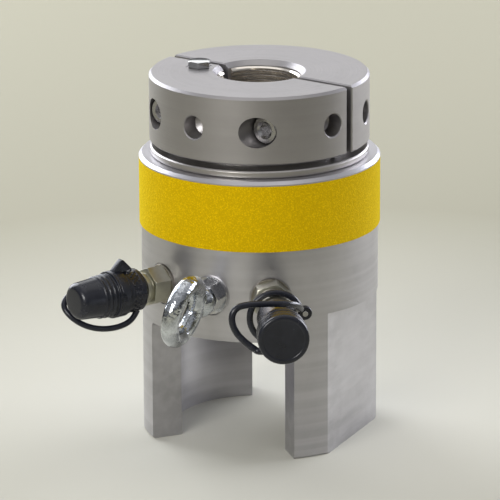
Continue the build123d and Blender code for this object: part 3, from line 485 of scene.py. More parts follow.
@dataclass(frozen=True)
class TurnedSteel(Recipe):
    """Satin machined steel with lathe marks, uneven tone and faint handling spots."""

    colour: Point
    roughness: float
    lines: float
    shade: float
    sheen: float
    cloud_scale: float = 24.0
    streaks: Range = (0.42, 0.66)
    streak_share: float = 0.45
    marks: Range = (0.2, 0.8)
    gloss_swing: float = 0.07
    spot_dulling: float = 0.06
    metallic: float = 0.92
    relief: Range = (0.00004, 0.3)

    def dress(self, surface: Surface) -> None:
        """Builds the steel's nodes.

        Args:
            surface: the material that gets them.
        """
        mark, broad = surface.group(surface.groups.turning, self.lines)
        cloud, spot = surface.clouds(self.cloud_scale)
        dark, worn = (tuple(c * share for c in self.colour) for share in (self.shade, self.sheen))
        streak = surface.remap(broad, self.streaks, (0.0, self.streak_share))
        swing = (self.roughness - self.gloss_swing, self.roughness + self.gloss_swing)
        dulling = surface.math("MULTIPLY", spot, self.spot_dulling)
        surface.finish({
            "Base Color": surface.mix(streak, surface.mix(cloud, self.colour, dark), worn),
            "Roughness": surface.math("ADD", surface.remap(mark, self.marks, swing), dulling),
            "Metallic": self.metallic,
        })
        surface.bump(mark, self.relief)


@dataclass(frozen=True)
class GripCoat(Recipe):
    """Yellow anti-slip coat of coarse grains."""

    deep: Point
    bright: Point
    dirt: Point
    grain_scale: float = 950.0
    cloud_scale: float = 40.0
    peaks: Range = (0.1, 0.6)
    dirt_share: float = 0.12
    roughness: Range = (0.85, 0.65)
    gloss: float = 0.06
    sheen: float = 0.5
    sheen_roughness: float = 0.45
    sheen_tint: Point = (1.0, 0.9, 0.02)
    relief: Range = (0.0003, 0.75)

    def dress(self, surface: Surface) -> None:
        """Builds the coat's nodes.

        Args:
            surface: the material that gets them.
        """
        height, tint = surface.group(surface.groups.grit, self.grain_scale)
        _, spot = surface.clouds(self.cloud_scale)
        peak = surface.remap(tint, self.peaks)
        dirty = surface.math("MULTIPLY", spot, self.dirt_share)
        surface.finish({
            "Base Color": surface.mix(dirty, surface.mix(peak, self.deep, self.bright), self.dirt),
            "Roughness": surface.remap(peak, (0.0, 1.0), self.roughness),
            "Specular IOR Level": self.gloss,
            "Sheen Weight": self.sheen,
            "Sheen Roughness": self.sheen_roughness,
            "Sheen Tint": self.sheen_tint,
        })
        surface.bump(height, self.relief)


@dataclass(frozen=True)
class PlatedMetal(Recipe):
    """Plated metal: cloudy tone, duller spots and a slightly uneven surface."""

    bright: Point
    dull: Point
    roughness: float
    cloud_scale: float
    spot_dulling: float = 0.12
    relief: Range = (0.00012, 0.4)

    def dress(self, surface: Surface) -> None:
        """Builds the plating's nodes.

        Args:
            surface: the material that gets them.
        """
        cloud, spot = surface.clouds(self.cloud_scale)
        dulling = surface.math("MULTIPLY", spot, self.spot_dulling)
        surface.finish({
            "Base Color": surface.mix(cloud, self.bright, self.dull),
            "Roughness": surface.math("ADD", dulling, self.roughness),
            "Metallic": 1.0,
        })
        surface.bump(cloud, self.relief)


@dataclass(frozen=True)
class ForgedZinc(Recipe):
    """Bright zinc over a drop-forged skin with pits and soft dents."""

    bright: Point
    dull: Point
    pit: Point
    cloud_scale: float = 110.0
    skin_scale: float = 420.0
    pit_share: float = 0.8
    roughness: Range = (0.11, 0.28)
    skin_height: float = 0.35
    relief: Range = (0.0006, 0.7)

    def dress(self, surface: Surface) -> None:
        """Builds the forging's nodes.

        Args:
            surface: the material that gets them.
        """
        cloud, spot = surface.clouds(self.cloud_scale)
        height, _ = surface.group(surface.groups.grit, self.skin_scale)
        pitted = surface.math("MULTIPLY", spot, self.pit_share)
        surface.finish({
            "Base Color": surface.mix(pitted, surface.mix(cloud, self.bright, self.dull), self.pit),
            "Roughness": surface.remap(spot, (0.0, 1.0), self.roughness),
            "Metallic": 1.0,
        })
        skin = surface.math("MULTIPLY", height, self.skin_height)
        surface.bump(surface.math("ADD", cloud, skin), self.relief)


@dataclass(frozen=True)
class Moulding(Recipe):
    """Moulded rubber or plastic with a faded bloom and a fine skin."""

    colour: Point
    faded: Point
    roughness: float
    gloss: float = 0.4
    cloud_scale: float = 90.0
    smoother: float = 0.04
    duller: float = 0.08
    skin_scale: float = 2600.0
    relief: Range = (0.00006, 0.35)

    def dress(self, surface: Surface) -> None:
        """Builds the moulding's nodes.

        Args:
            surface: the material that gets them.
        """
        cloud, _ = surface.clouds(self.cloud_scale)
        swing = (self.roughness - self.smoother, self.roughness + self.duller)
        surface.finish({
            "Base Color": surface.mix(cloud, self.colour, self.faded),
            "Roughness": surface.remap(cloud, (0.0, 1.0), swing),
            "Specular IOR Level": self.gloss,
        })
        surface.bump(surface.noise(surface.place(), self.skin_scale, detail=2.0), self.relief)


@dataclass(frozen=True)
class StudioPaint(Recipe):
    """Pale matt floor with painted light: lighter near the tool, which offsets its shadow there, and darker
    away from it as a painted falloff; barely uneven; reaches are metres.
    """

    painted_light_near: Point
    deep: Point
    reach: Range = (0.1, 0.52)
    cloud_scale: float = 1.5
    waver: float = 0.04
    roughness: float = 0.85
    gloss: float = 0.2

    def dress(self, surface: Surface) -> None:
        """Builds the floor's nodes.

        Args:
            surface: the material that gets them.
        """
        cloud, _ = surface.clouds(self.cloud_scale)
        away = surface.node("ShaderNodeVectorMath", operation="LENGTH")
        surface.feed(away.inputs[0], surface.place())
        waver = surface.math("MULTIPLY", cloud, self.waver)
        # painted light: lighter floor colour near the tool, with a painted falloff to the deeper colour
        # further out
        depth = surface.remap(surface.math("ADD", away.outputs["Value"], waver), self.reach)
        surface.finish({
            "Base Color": surface.mix(depth, self.painted_light_near, self.deep),
            "Roughness": self.roughness,
            "Specular IOR Level": self.gloss,
        })


RECIPES: dict[Finish, Recipe] = {
    Finish.BODY: TurnedSteel((0.52, 0.51, 0.53), 0.36, 2300.0, 0.78, 1.12),
    Finish.COLLAR: TurnedSteel((0.38, 0.365, 0.365), 0.42, 2900.0, 0.9, 1.04),
    Finish.PISTON: TurnedSteel((0.44, 0.42, 0.405), 0.34, 2600.0, 0.85, 1.05),
    # painted light: the thread's steel is far lighter than the collar's, partly as bare cut steel and partly
    # to offset the shade inside the bore
    Finish.THREAD: TurnedSteel((0.80, 0.75, 0.67), 0.15, 1500.0, 0.95, 1.05),
    Finish.GRIP: GripCoat((0.64, 0.41, 0.0008), (0.94, 0.645, 0.0015), (0.40, 0.27, 0.005)),
    Finish.SCREW: PlatedMetal((0.46, 0.46, 0.47), (0.34, 0.33, 0.33), 0.24, 60.0),
    Finish.BRIGHT_ZINC: PlatedMetal((0.70, 0.71, 0.72), (0.52, 0.53, 0.52), 0.17, 90.0),
    Finish.DULL_ZINC: PlatedMetal((0.58, 0.58, 0.59), (0.40, 0.40, 0.41), 0.12, 40.0),
    # painted reflection: the sleeve's metal is darkened to stand in for the dark reflections of its
    # surroundings
    Finish.SLEEVE_PAINTED_DARK: PlatedMetal((0.25, 0.25, 0.265), (0.15, 0.15, 0.16), 0.22, 60.0),
    Finish.FORGED_ZINC: ForgedZinc((0.78, 0.81, 0.84), (0.34, 0.36, 0.385), (0.05, 0.055, 0.06)),
    Finish.YELLOW_ZINC: PlatedMetal((0.46, 0.45, 0.36), (0.33, 0.32, 0.27), 0.33, 70.0),
    Finish.WASHER: PlatedMetal((0.40, 0.37, 0.31), (0.27, 0.25, 0.22), 0.36, 80.0),
    Finish.SPRING: PlatedMetal((0.60, 0.60, 0.61), (0.46, 0.46, 0.47), 0.28, 120.0),
    Finish.RUBBER: Moulding((0.008, 0.009, 0.014), (0.015, 0.0165, 0.024), 0.21, 0.42),
    Finish.SEAL: Moulding((0.012, 0.012, 0.013), (0.025, 0.025, 0.026), 0.5),
    Finish.SEAL_PLASTIC: Moulding((0.10, 0.15, 0.14), (0.13, 0.19, 0.18), 0.45),
    Finish.BACKUP: Moulding((0.62, 0.59, 0.50), (0.70, 0.67, 0.58), 0.5),
    Finish.FLOOR: StudioPaint((0.62, 0.61, 0.535), (0.365, 0.35, 0.268)),
}


class Materials:
    """Procedural materials, made once and looked up by finish."""

    def __init__(self) -> None:
        """Makes a material for each recipe."""
        self.groups = SurfaceGroups()
        self.made = {finish: self._make(finish, recipe) for finish, recipe in RECIPES.items()}

    def __getitem__(self, finish: Finish) -> bpy.types.Material:
        """The material of a finish."""
        return self.made[finish]

    def _make(self, finish: Finish, recipe: Recipe) -> bpy.types.Material:
        """Makes one material.

        Args:
            finish: gives its name.
            recipe: builds its nodes.

        Returns:
            The material.
        """
        material = bpy.data.materials.new(finish.value)
        material.use_nodes = True
        recipe.dress(Surface(material.node_tree, self.groups))
        return material


class GeometryTrees:
    """Geometry node trees that pieces share."""

    def __init__(self) -> None:
        """Builds each tree once."""
        self.smoothing = self._smoothing()
        self.studs = self._studs()

    @staticmethod
    def _start(name: str, inputs: Sequence[tuple[str, str]]) -> tuple[Graph, bpy.types.bpy_prop_collection]:
        """Makes an empty tree that takes and gives geometry.

        Args:
            name: the tree's name.
            inputs: label and kind of its further inputs.

        Returns:
            The tree's graph and the sockets of its inputs.
        """
        tree = bpy.data.node_groups.new(name, "GeometryNodeTree")
        tree.interface.new_socket("Geometry", in_out="INPUT", socket_type="NodeSocketGeometry")
        tree.interface.new_socket("Geometry", in_out="OUTPUT", socket_type="NodeSocketGeometry")
        for label, kind in inputs:
            tree.interface.new_socket(label, in_out="INPUT", socket_type="NodeSocket" + kind)
        graph = Graph(tree)
        return graph, graph.node("NodeGroupInput").outputs

    def _smoothing(self) -> bpy.types.NodeTree:
        """Makes smooth shading that stops at edges sharper than an angle.

        Returns:
            The tree.
        """
        graph, given = self._start("smooth_to_angle", (("Angle", "Float"),))
        smooth = graph.node("GeometryNodeSetShadeSmooth", {"Geometry": given["Geometry"]}, domain="FACE")
        turn = graph.node("GeometryNodeInputMeshEdgeAngle").outputs["Unsigned Angle"]
        sharp = graph.node(
            "FunctionNodeCompare", {"A": turn, "B": given["Angle"]},
            data_type="FLOAT", operation="GREATER_THAN",
        )
        edges = graph.node(
            "GeometryNodeSetShadeSmooth",
            {"Geometry": smooth.outputs[0], "Selection": sharp.outputs[0], "Shade Smooth": False},
            domain="EDGE",
        )
        graph.node("NodeGroupOutput", {"Geometry": edges.outputs[0]})
        return graph.tree

    def _studs(self) -> bpy.types.NodeTree:
        """Makes staggered rows of small round studs on the outside of a round piece.

        Returns:
            The tree.
        """
        graph, given = self._start("stud_rows", (
            ("Radius", "Float"), ("Start", "Float"), ("Length", "Float"), ("Rows", "Int"), ("Around", "Int"),
            ("Stud", "Float"), ("Material", "Material"),
        ))
        index = graph.node("GeometryNodeInputIndex").outputs[0]
        around, rows = given["Around"], given["Rows"]
        row = graph.math("FLOOR", graph.math("DIVIDE", graph.math("ADD", index, ROW_GUARD), around))
        step = graph.math("ADD", index, graph.math("MULTIPLY", row, 0.5))
        turn = graph.math("DIVIDE", graph.math("MULTIPLY", step, math.tau), around)
        share = graph.math("DIVIDE", row, graph.math("SUBTRACT", rows, 1.0))
        place = graph.node("ShaderNodeCombineXYZ", {
            "X": graph.math("MULTIPLY", given["Radius"], graph.math("COSINE", turn)),
            "Y": graph.math("MULTIPLY", given["Radius"], graph.math("SINE", turn)),
            "Z": graph.math("ADD", given["Start"], graph.math("MULTIPLY", share, given["Length"])),
        }).outputs[0]
        count = graph.math("MULTIPLY", around, rows)
        points = graph.node("GeometryNodePoints", {"Count": count, "Position": place}).outputs[0]
        inputs = {"Radius": given["Stud"], "Subdivisions": 2}
        stud = graph.node("GeometryNodeMeshIcoSphere", inputs).outputs[0]
        spread = graph.node("GeometryNodeInstanceOnPoints", {"Points": points, "Instance": stud}).outputs[0]
        smooth = graph.node("GeometryNodeSetShadeSmooth", {"Geometry": spread}, domain="FACE").outputs[0]
        real = graph.node("GeometryNodeRealizeInstances", {"Geometry": smooth}).outputs[0]
        inputs = {"Geometry": real, "Material": given["Material"]}
        graph.node("NodeGroupOutput", {"Geometry": graph.node("GeometryNodeSetMaterial", inputs).outputs[0]})
        return graph.tree

    @staticmethod
    def apply(piece: bpy.types.Object, tree: bpy.types.NodeTree, **values: object) -> None:
        """Puts a tree on a piece as a modifier.

        Args:
            piece: the object that gets it.
            tree: the geometry node tree.
            values: values for its inputs by label.
        """
        modifier = piece.modifiers.new(tree.name, "NODES")
        modifier.node_group = tree
        for socket in tree.interface.items_tree:
            if socket.in_out == "INPUT" and socket.name in values:
                modifier[socket.identifier] = values[socket.name]


def turns(count: int) -> list[float]:
    """Angles that divide a full turn."""
    return [math.tau * i / count for i in range(count)]


def bend(first: Vector, corner: Vector, last: Vector, steps: int) -> list[Vector]:
    """Points of a curve between two points that is drawn towards a corner."""
    shares = (k / steps for k in range(steps + 1))
    return [first * (1 - t) ** 2 + corner * (2 * t * (1 - t)) + last * t ** 2 for t in shares]


class MeshKit:
    """Builds closed meshes in a bmesh; sizes are millimetres and places are metres."""

    def __init__(self) -> None:
        """Starts an empty mesh."""
        self.build = bmesh.new()

    def ring(self, points: Iterable[Vector]) -> Ring:
        """Adds vertices at points in metres."""
        return [self.build.verts.new(point) for point in points]

    def loft(self, rings: Sequence[Ring], closed: bool = False) -> None:
        """Joins rings of vertices into a closed skin.

        Args:
            rings: rings of equally many vertices, or of one vertex at a pole.
            closed: whether the last ring is joined with the first; otherwise both ends are capped.
        """
        pairs = list(zip(rings, rings[1:]))
        if closed:
            pairs.append((rings[-1], rings[0]))
        count = max(len(ring) for ring in rings)
        for first, second in pairs:
            for i in range(count):
                j = (i + 1) % count
                corners = (first[i % len(first)], first[j % len(first)],
                           second[j % len(second)], second[i % len(second)])
                unique = list(dict.fromkeys(corners))
                if len(unique) > 2:
                    self.build.faces.new(unique)
        if not closed:
            for end in (rings[0][::-1], rings[-1]):
                if len(end) > 2:
                    self.build.faces.new(end)

    def lathe(self, outline: Outline, place: Matrix, segments: int = 96) -> None:
        """Adds a turned shape.

        Args:
            outline: (radius, station) points; ends on the axis close the body, others make a ring.
            place: frame whose Z is the axis.
            segments: flat sides of the turn.
        """
        rings: list[Ring] = []
        for radius, station in outline:
            angles = turns(segments) if radius > ON_AXIS else [0.0]
            rings.append(self.ring(
                place @ (Vector((radius * math.cos(a), radius * math.sin(a), station)) * MM) for a in angles
            ))
        self.loft(rings, closed=len(rings[0]) > 1)

    def tube(self, path: Sequence[Vector], radius: float, segments: int = 20, closed: bool = False) -> None:
        """Adds a round tube along a path, with a frame carried along without twist.

        Args:
            path: points of the centre line in metres.
            radius: the tube's radius.
            segments: flat sides round the tube.
            closed: whether the path runs back into its start.
        """
        count = len(path)
        rings: list[Ring] = []
        normal: Vector | None = None
        for i, point in enumerate(path):
            before = path[i - 1] if closed or i else path[0]
            after = path[(i + 1) % count] if closed or i < count - 1 else path[-1]
            tangent = (after - before).normalized()
            normal = tangent.orthogonal() if normal is None else normal
            normal = (normal - tangent * normal.dot(tangent)).normalized()
            side = tangent.cross(normal)
            rings.append(self.ring(
                point + (normal * math.cos(a) + side * math.sin(a)) * radius * MM for a in turns(segments)
            ))
        self.loft(rings, closed)

    def plate(self, outline: Outline, thickness: float, place: Matrix, edge: float) -> None:
        """Adds a plate with rounded edges.

        Args:
            outline: (up, station) points in the place's YZ plane.
            thickness: the plate's size along the place's X.
            place: frame of the fitting.
            edge: rounding of its edges.
        """
        sides = [
            self.ring(place @ (Vector((x, up, station)) * MM) for up, station in outline)
            for x in (-thickness / 2, thickness / 2)
        ]
        self.loft(sides)
        edges = dict.fromkeys(e for vertex in (*sides[0], *sides[1]) for e in vertex.link_edges)
        bmesh.ops.bevel(
            self.build, geom=list(edges), offset=edge * MM, segments=3, profile=0.5, affect="EDGES",
            clamp_overlap=True,
        )

    def mesh(self, name: str) -> bpy.types.Mesh:
        """Ends the build.

        Args:
            name: the mesh's name.

        Returns:
            The mesh, with its faces turned outwards.
        """
        bmesh.ops.recalc_face_normals(self.build, faces=self.build.faces[:])
        mesh = bpy.data.meshes.new(name)
        self.build.to_mesh(mesh)
        self.build.free()
        return mesh


def circle(place: Matrix, radius: float, count: int) -> list[Vector]:
    """Points of a circle in the XY plane of a place."""
    return [place @ (Vector((math.cos(a), math.sin(a), 0)) * radius * MM) for a in turns(count)]


def rounded(
    outline: Outline, radius: float, steps: int = 4, straight: float = 166.0, side_share: float = 0.45,
) -> list[tuple[float, float]]:
    """Softens the corners of a lathe outline that lie off the axis.

    Args:
        outline: (radius, station) points; one whose ends are off the axis is taken as closed.
        radius: reach of the rounding.
        steps: pieces of each rounding.
        straight: corners wider than this angle in degrees stay.
        side_share: most of a side that a rounding takes.

    Returns:
        The softened outline.
    """
    points = [Vector(point) for point in outline]
    soft: list[Vector] = []
    for i, corner in enumerate(points):
        to_before = points[i - 1] - corner
        to_after = points[(i + 1) % len(points)] - corner
        if corner.x < ON_AXIS or to_before.angle(to_after) > math.radians(straight):
            soft.append(corner)
            continue
        reach = min(radius, side_share * to_before.length, side_share * to_after.length)
        first = corner + to_before.normalized() * reach
        soft += bend(first, corner, corner + to_after.normalized() * reach, steps)
    return [(point.x, point.y) for point in soft]


def new_object(name: str, mesh: bpy.types.Mesh) -> bpy.types.Object:
    """Makes an object in the scene.

    Args:
        name: the object's name.
        mesh: its mesh.

    Returns:
        The object, at the origin.
    """
    piece = bpy.data.objects.new(name, mesh)
    bpy.context.scene.collection.objects.link(piece)
    return piece


def settle(piece: bpy.types.Object) -> None:
    """Turns what a piece's modifiers make into its plain mesh.

    Args:
        piece: the object, which keeps its name and loses its modifiers.
    """
    graph = bpy.context.evaluated_depsgraph_get()
    mesh = bpy.data.meshes.new_from_object(piece.evaluated_get(graph), depsgraph=graph)
    piece.modifiers.clear()
    before, piece.data = piece.data, mesh
    bpy.data.meshes.remove(before)
    mesh.name = piece.name


class Workshop:
    """Turns built meshes into finished pieces of the object."""

    def __init__(self, materials: Materials, trees: GeometryTrees) -> None:
        """Keeps the materials and the geometry trees at hand."""
        self.materials = materials
        self.trees = trees

    def shape(self, name: str, kit: MeshKit, finish: Finish, smooth: float = 38.0) -> bpy.types.Object:
        """Makes an object of a build, with its material and its smooth shading.

        Args:
            name: the piece's name.
            kit: the build, which this ends.
            finish: the piece's finish.
            smooth: edges up to this angle in degrees are shaded smooth.

        Returns:
            The piece, a plain mesh.
        """
        piece = new_object(name, kit.mesh(name))
        piece.data.materials.append(self.materials[finish])
        self.trees.apply(piece, self.trees.smoothing, Angle=math.radians(smooth))
        settle(piece)
        return piece

    @staticmethod
    def fuse(piece: bpy.types.Object, voxel: float, passes: int) -> None:
        """Joins a piece's bodies into one skin with soft fillets.

        Args:
            piece: the piece, changed in place.
            voxel: size of the skin's faces.
            passes: smoothing passes over the skin.
        """
        material = piece.data.materials[0]
        remesh = piece.modifiers.new("join", "REMESH")
        remesh.mode = "VOXEL"
        remesh.voxel_size = voxel * MM
        remesh.use_smooth_shade = True
        smooth = piece.modifiers.new("flow", "SMOOTH")
        smooth.factor = 0.5
        smooth.iterations = passes
        settle(piece)
        piece.data.materials.clear()
        piece.data.materials.append(material)

    @staticmethod
    def place(piece: bpy.types.Object, body: str, slot: Slot, node: str | None = None) -> None:
        """Lets a piece ride on a body.

        Args:
            piece: the finished piece.
            body: the CAD body that carries it.
            slot: the record's slot of its finish; not used.
            node: the CAD node that it stands for.
        """
        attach(piece, body)
        if node:
            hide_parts(node)
        LOG.info("%s rides on %s, %d faces", piece.name, body, len(piece.data.polygons))


@dataclass(frozen=True)
class Strap:
    """A dust cap's strap: a soft round cord from its band or ring to the cap's lug."""

    node: str
    fitting: Fitting
    route: tuple[Point, ...]
    keeper_body: str
    cap_body: str
    length: float
    diameter: float
    bends_from: float
    bends_to: float
    lug_root: Point

    def centre_line(self) -> list[Vector]:
        """Reads the smooth line that the route's points control.

        Returns:
            Points along the line, in metres.
        """
        curve = bpy.data.curves.new(self.node + "_line", "CURVE")
        curve.dimensions = "3D"
        curve.resolution_u = 12
        spline = curve.splines.new("NURBS")
        spline.points.add(len(self.route) - 1)
        for control, (right, up, station) in zip(spline.points, self.route):
            control.co = (*self.fitting.point(right, up, station), 1.0)
        spline.order_u = 3
        spline.use_endpoint_u = True
        guide = bpy.data.objects.new(self.node + "_line", curve)
        line = bpy.data.meshes.new_from_object(guide)
        points = [vertex.co.copy() for vertex in line.vertices]
        bpy.data.objects.remove(guide)
        bpy.data.curves.remove(curve)
        bpy.data.meshes.remove(line)
        return points

    def add_lug(
        self, kit: MeshKit, wall: float = 0.04, gap: float = 0.08, reach: float = 2.6, steps: int = 8,
    ) -> None:
        """Adds the lug on the cap, which carries on from the end of the strap and bends into the cap.

        Args:
            kit: the cap's build.
            wall: how much wider than the strap the lug is.
            gap: space between the strap's end and the lug.
            reach: how far beyond the strap's end the bend's corner lies.
            steps: pieces of the lug's bend.
        """
        end = self.fitting.point(*self.route[-1])
        root = self.fitting.point(*self.lug_root)
        along = (end - self.fitting.point(*self.route[-2])).normalized()
        path = bend(end + along * gap * MM, end + along * reach * MM, root, steps)
        kit.tube(path, self.diameter / 2 + wall)

    def build(self, shop: Workshop) -> None:
        """Args:
            shop: finishes the strap.
        """
        points = self.centre_line()
        kit = MeshKit()
        kit.tube(points, self.diameter / 2)
        piece = shop.shape(self.node.replace("_strap", "_cap_strap"), kit, Finish.RUBBER, smooth=50.0)
        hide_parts(self.node)
        start = self.fitting.point(0, 0, self.bends_from)
        end = self.fitting.point(0, 0, self.bends_to)
        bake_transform(piece)
        LOG.info("%s bends between %s and %s", piece.name, self.keeper_body, self.cap_body)


LEFT_STRAP = Strap(
    node="left_strap",
    fitting=LEFT,
    route=(
        (5.2, -11.5, 24.0),
        (5.2, -15.7, 26.3),
        (4.6, -19.4, 31.8),
        (3.4, -20.8, 40.3),
        (1.6, -20.2, 49.0),
        (-1.4, -18.0, 56.4),
        (-5.4, -14.4, 62.0),
        (-9.8, -9.8, 65.6),
        (-14.0, -5.7, 65.8),
        (-16.4, -1.6, 61.6),
        (-14.6, 1.4, 57.2),
    ),
    keeper_body="body",
    cap_body="left_cap",
    length=69.3,
    diameter=3.7,
    bends_from=28.0,
    bends_to=60.0,
    lug_root=(-10.4, 2.6, 53.4),
)

RIGHT_STRAP = Strap(
    node="right_strap",
    fitting=RIGHT,
    route=(
        (14.2, 2.8, 33.8),
        (14.8, 4.8, 43.0),
        (12.3, 9.9, 51.0),
        (7.0, 13.8, 59.0),
        (-0.9, 15.6, 63.5),
        (-10.1, 16.6, 66.2),
        (-19.5, 17.1, 68.0),
        (-27.2, 15.8, 69.0),
        (-30.2, 9.8, 69.8),
        (-28.3, 1.9, 70.6),
        (-22.3, -5.2, 71.6),
        (-15.9, -9.8, 73.0),
    ),
    keeper_body="right_ring",
    cap_body="right_cap",
    length=96.9,
    diameter=4.1,
    bends_from=36.0,
    bends_to=70.0,
    lug_root=(-10.6, -9.6, 76.5),
)


@dataclass(frozen=True)
class CollarThread:
    """Ridges of the puller collar's thread, cut through by the slit."""

    major: float = 26.0
    minor: float = 24.4
    pitch: float = 3.0
    crest: float = 0.45
    root_gap: float = 0.12
    low: float = 180.4
    low_edge: float = 1.6
    high: float = 230.6
    mouth: float = 3.0
    slit_turn: float = -11.7
    slit: float = 5.0
    slit_clearance: float = 0.3
    embed: float = 0.05
    least_height: float = 0.15
    steps: int = 90

    def _kept(self, radius: float, height: float) -> float:
        """Radius of a ridge point, cut back by the chamfers at both mouths."""
        by_mouth = self.major - (self.high - self.mouth - height)
        return max(radius, by_mouth, self.major - (height - self.low - self.low_edge))

    def _section(self, step: int) -> list[Vector] | None:
        """Places the ridge's outline at a step of its helix.

        Args:
            step: steps from the lower end.

        Returns:
            Its points in metres, or nothing at the slit and where the chamfers leave no ridge.
        """
        base, root = self.major + self.embed, self.pitch / 2 - self.root_gap
        outline = ((base, -root), (self.minor, -self.crest), (self.minor, self.crest), (base, root))
        angle = math.tau * step / self.steps
        from_slit = self.minor * math.cos(angle - math.radians(self.slit_turn))
        middle = self.low + self.pitch / 2 + self.pitch * step / self.steps
        kept = [self._kept(radius, middle + offset) for radius, offset in outline]
        if abs(from_slit) < self.slit / 2 + self.slit_clearance or min(kept) > self.major - self.least_height:
            return None
        return [
            Vector((radius * math.sin(angle), -radius * math.cos(angle), middle + offset)) * MM
            for radius, (_, offset) in zip(kept, outline)
        ]

    def build(self, shop: Workshop) -> None:
        """Makes the ridges; they ride on the collar.

        Args:
            shop: finishes the ridges.
        """
        kit = MeshKit()
        rounds = (self.high - self.low) / self.pitch - 1
        sections = [self._section(step) for step in range(int(rounds * self.steps))]
        for present, run in groupby(sections, key=bool):
            if present:
                kit.loft([kit.ring(section) for section in run])
        piece = shop.shape("collar_thread_ridges", kit, Finish.THREAD, smooth=25.0)
        shop.place(piece, "collar", Slot.COLLAR)


@dataclass(frozen=True)
class LongDustCap:
    """Long cap over the left nipple: flange, ribs, tapered body with a rounded nose, pull tab and lug."""

    start: float = 33.7
    flange_end: float = 41.7
    floor: float = 61.0
    end: float = 67.0
    bore: float = 8.3
    flange_radius: float = 14.7
    flange_groove: float = 40.0
    groove_depth: float = 0.4
    root_radius: float = 13.2
    nose_radius: float = 11.6
    nose_rounding: float = 4.4
    nose_steps: int = 10
    ribs: tuple[float, ...] = (43.3, 46.5, 49.7)
    rib_length: float = 1.6
    rib_height: float = 0.6
    rib_slope: float = 0.35
    tab_thickness: float = 4.4
    tab: Outline = (
        (14.1, 25.7), (15.0, 25.7), (21.1, 31.5), (21.1, 32.9),
        (15.0, 38.9), (12.9, 38.9), (12.9, 33.7), (14.1, 33.7),
    )

    def _side(self, station: float) -> float:
        """Radius of the tapered body at a station."""
        share = (station - self.flange_end) / (self.end - self.flange_end)
        return self.root_radius + share * (self.nose_radius - self.root_radius)

    def _outline(self) -> list[tuple[float, float]]:
        """Outline of the cap.

        Returns:
            (radius, station) points from the floor of the bore to the nose, with soft corners.
        """
        flange, groove, depth = self.flange_radius, self.flange_groove, self.groove_depth
        outline = [
            (0.0, self.floor), (self.bore, self.floor), (self.bore, self.start), (flange, self.start),
            (flange, groove - depth), (flange - depth, groove), (flange, groove + depth),
            (flange, self.flange_end), (self.root_radius, self.flange_end),
        ]
        for rib in self.ribs:
            last = rib + self.rib_length
            outline += [
                (self._side(rib), rib), (self._side(rib) + self.rib_height, rib + self.rib_slope),
                (self._side(last) + self.rib_height, last - self.rib_slope), (self._side(last), last),
            ]
        for k in range(self.nose_steps + 1):
            turn = math.pi / 2 * k / self.nose_steps
            radius = self.nose_radius - self.nose_rounding * (1 - math.cos(turn))
            outline.append((radius, self.end - self.nose_rounding * (1 - math.sin(turn))))
        return rounded([*outline, (0.0, self.end)], radius=0.5)

    def build(self, shop: Workshop) -> None:
        """Makes the cap.

        Args:
            shop: finishes the cap.
        """
        kit = MeshKit()
        kit.plate(self.tab, self.tab_thickness, LEFT.place, edge=0.5)
        kit.lathe(self._outline(), LEFT.place)
        LEFT_STRAP.add_lug(kit)
        piece = shop.shape("left_dust_cap", kit, Finish.RUBBER)
        shop.place(piece, "left_cap", Slot.RUBBER, "left_cap")


@dataclass(frozen=True)
class StuddedBand:
    """Band on the left nipple's neck, with staggered rows of studs round it."""

    start: float = 21.0
    end: float = 33.0
    bore: float = 8.95
    radius: float = 13.2
    waist: float = 12.9
    rim: float = 3.2
    slope: float = 0.4
    stud: float = 0.75
    stud_rows: int = 3
    studs_around: int = 24

    def build(self, shop: Workshop) -> None:
        """Makes the band and its studs.

        Args:
            shop: finishes both.
        """
        low, high = self.start + self.rim, self.end - self.rim
        outline = [
            (self.bore, self.start), (self.radius, self.start), (self.radius, low - self.slope),
            (self.waist, low),
            (self.waist, high), (self.radius, high + self.slope), (self.radius, self.end),
            (self.bore, self.end),
        ]
        kit = MeshKit()
        kit.lathe(rounded(outline, radius=0.5), LEFT.place)
        band = shop.shape("left_band", kit, Finish.RUBBER)
        shop.place(band, "body", Slot.RUBBER, "left_retaining_band")
        studs = new_object("left_band_studs", bpy.data.meshes.new("left_band_studs"))
        shop.trees.apply(
            studs, shop.trees.studs, Radius=self.waist * MM, Start=(low + self.stud) * MM,
            Length=(high - low - 2 * self.stud) * MM, Rows=self.stud_rows, Around=self.studs_around,
            Stud=self.stud * MM, Material=shop.materials[Finish.RUBBER],
        )
        settle(studs)
        studs.data.transform(LEFT.place)
        shop.place(studs, "body", Slot.RUBBER)


@dataclass(frozen=True)
class ShortDustCap:
    """Short cap over the right sleeve: rim, groove, fine ring and a broad face with a shallow dish.

    Rim, groove, shoulder and ring lie at stations after the start. The face's points are distances
    inwards from the side and back from the end.
    """

    start: float = 70.5
    floor: float = 80.9
    end: float = 86.9
    bore: float = 12.7
    rim_radius: float = 15.1
    rim: float = 3.0
    groove_radius: float = 14.3
    groove: Range = (3.3, 4.6)
    radius: float = 15.5
    shoulder: float = 6.0
    ring: float = 9.4
    ring_half_width: float = 0.4
    ring_depth: float = 0.3
    face: Outline = ((0.0, 1.9), (0.3, 0.85), (1.1, 0.2), (2.1, 0.0), (2.9, 0.0))
    dish_edge: float = 3.3
    dish: float = 0.25

    def build(self, shop: Workshop) -> None:
        """Makes the cap.

        Args:
            shop: finishes the cap.
        """
        start, end, side = self.start, self.end, self.radius
        ring, half = start + self.ring, self.ring_half_width
        outline = [
            (0.0, self.floor), (self.bore, self.floor), (self.bore, start), (self.rim_radius, start),
            (self.rim_radius, start + self.rim), *((self.groove_radius, start + way) for way in self.groove),
            (side, start + self.shoulder), (side, ring - half), (side - self.ring_depth, ring),
            (side, ring + half), *((side - inwards, end - back) for inwards, back in self.face),
            (side - self.dish_edge, end - self.dish), (0.0, end - self.dish),
        ]
        kit = MeshKit()
        kit.lathe(rounded(outline, radius=0.4), RIGHT.place, segments=128)
        RIGHT_STRAP.add_lug(kit)
        piece = shop.shape("right_dust_cap", kit, Finish.RUBBER)
        shop.place(piece, "right_cap", Slot.RUBBER, "right_cap")


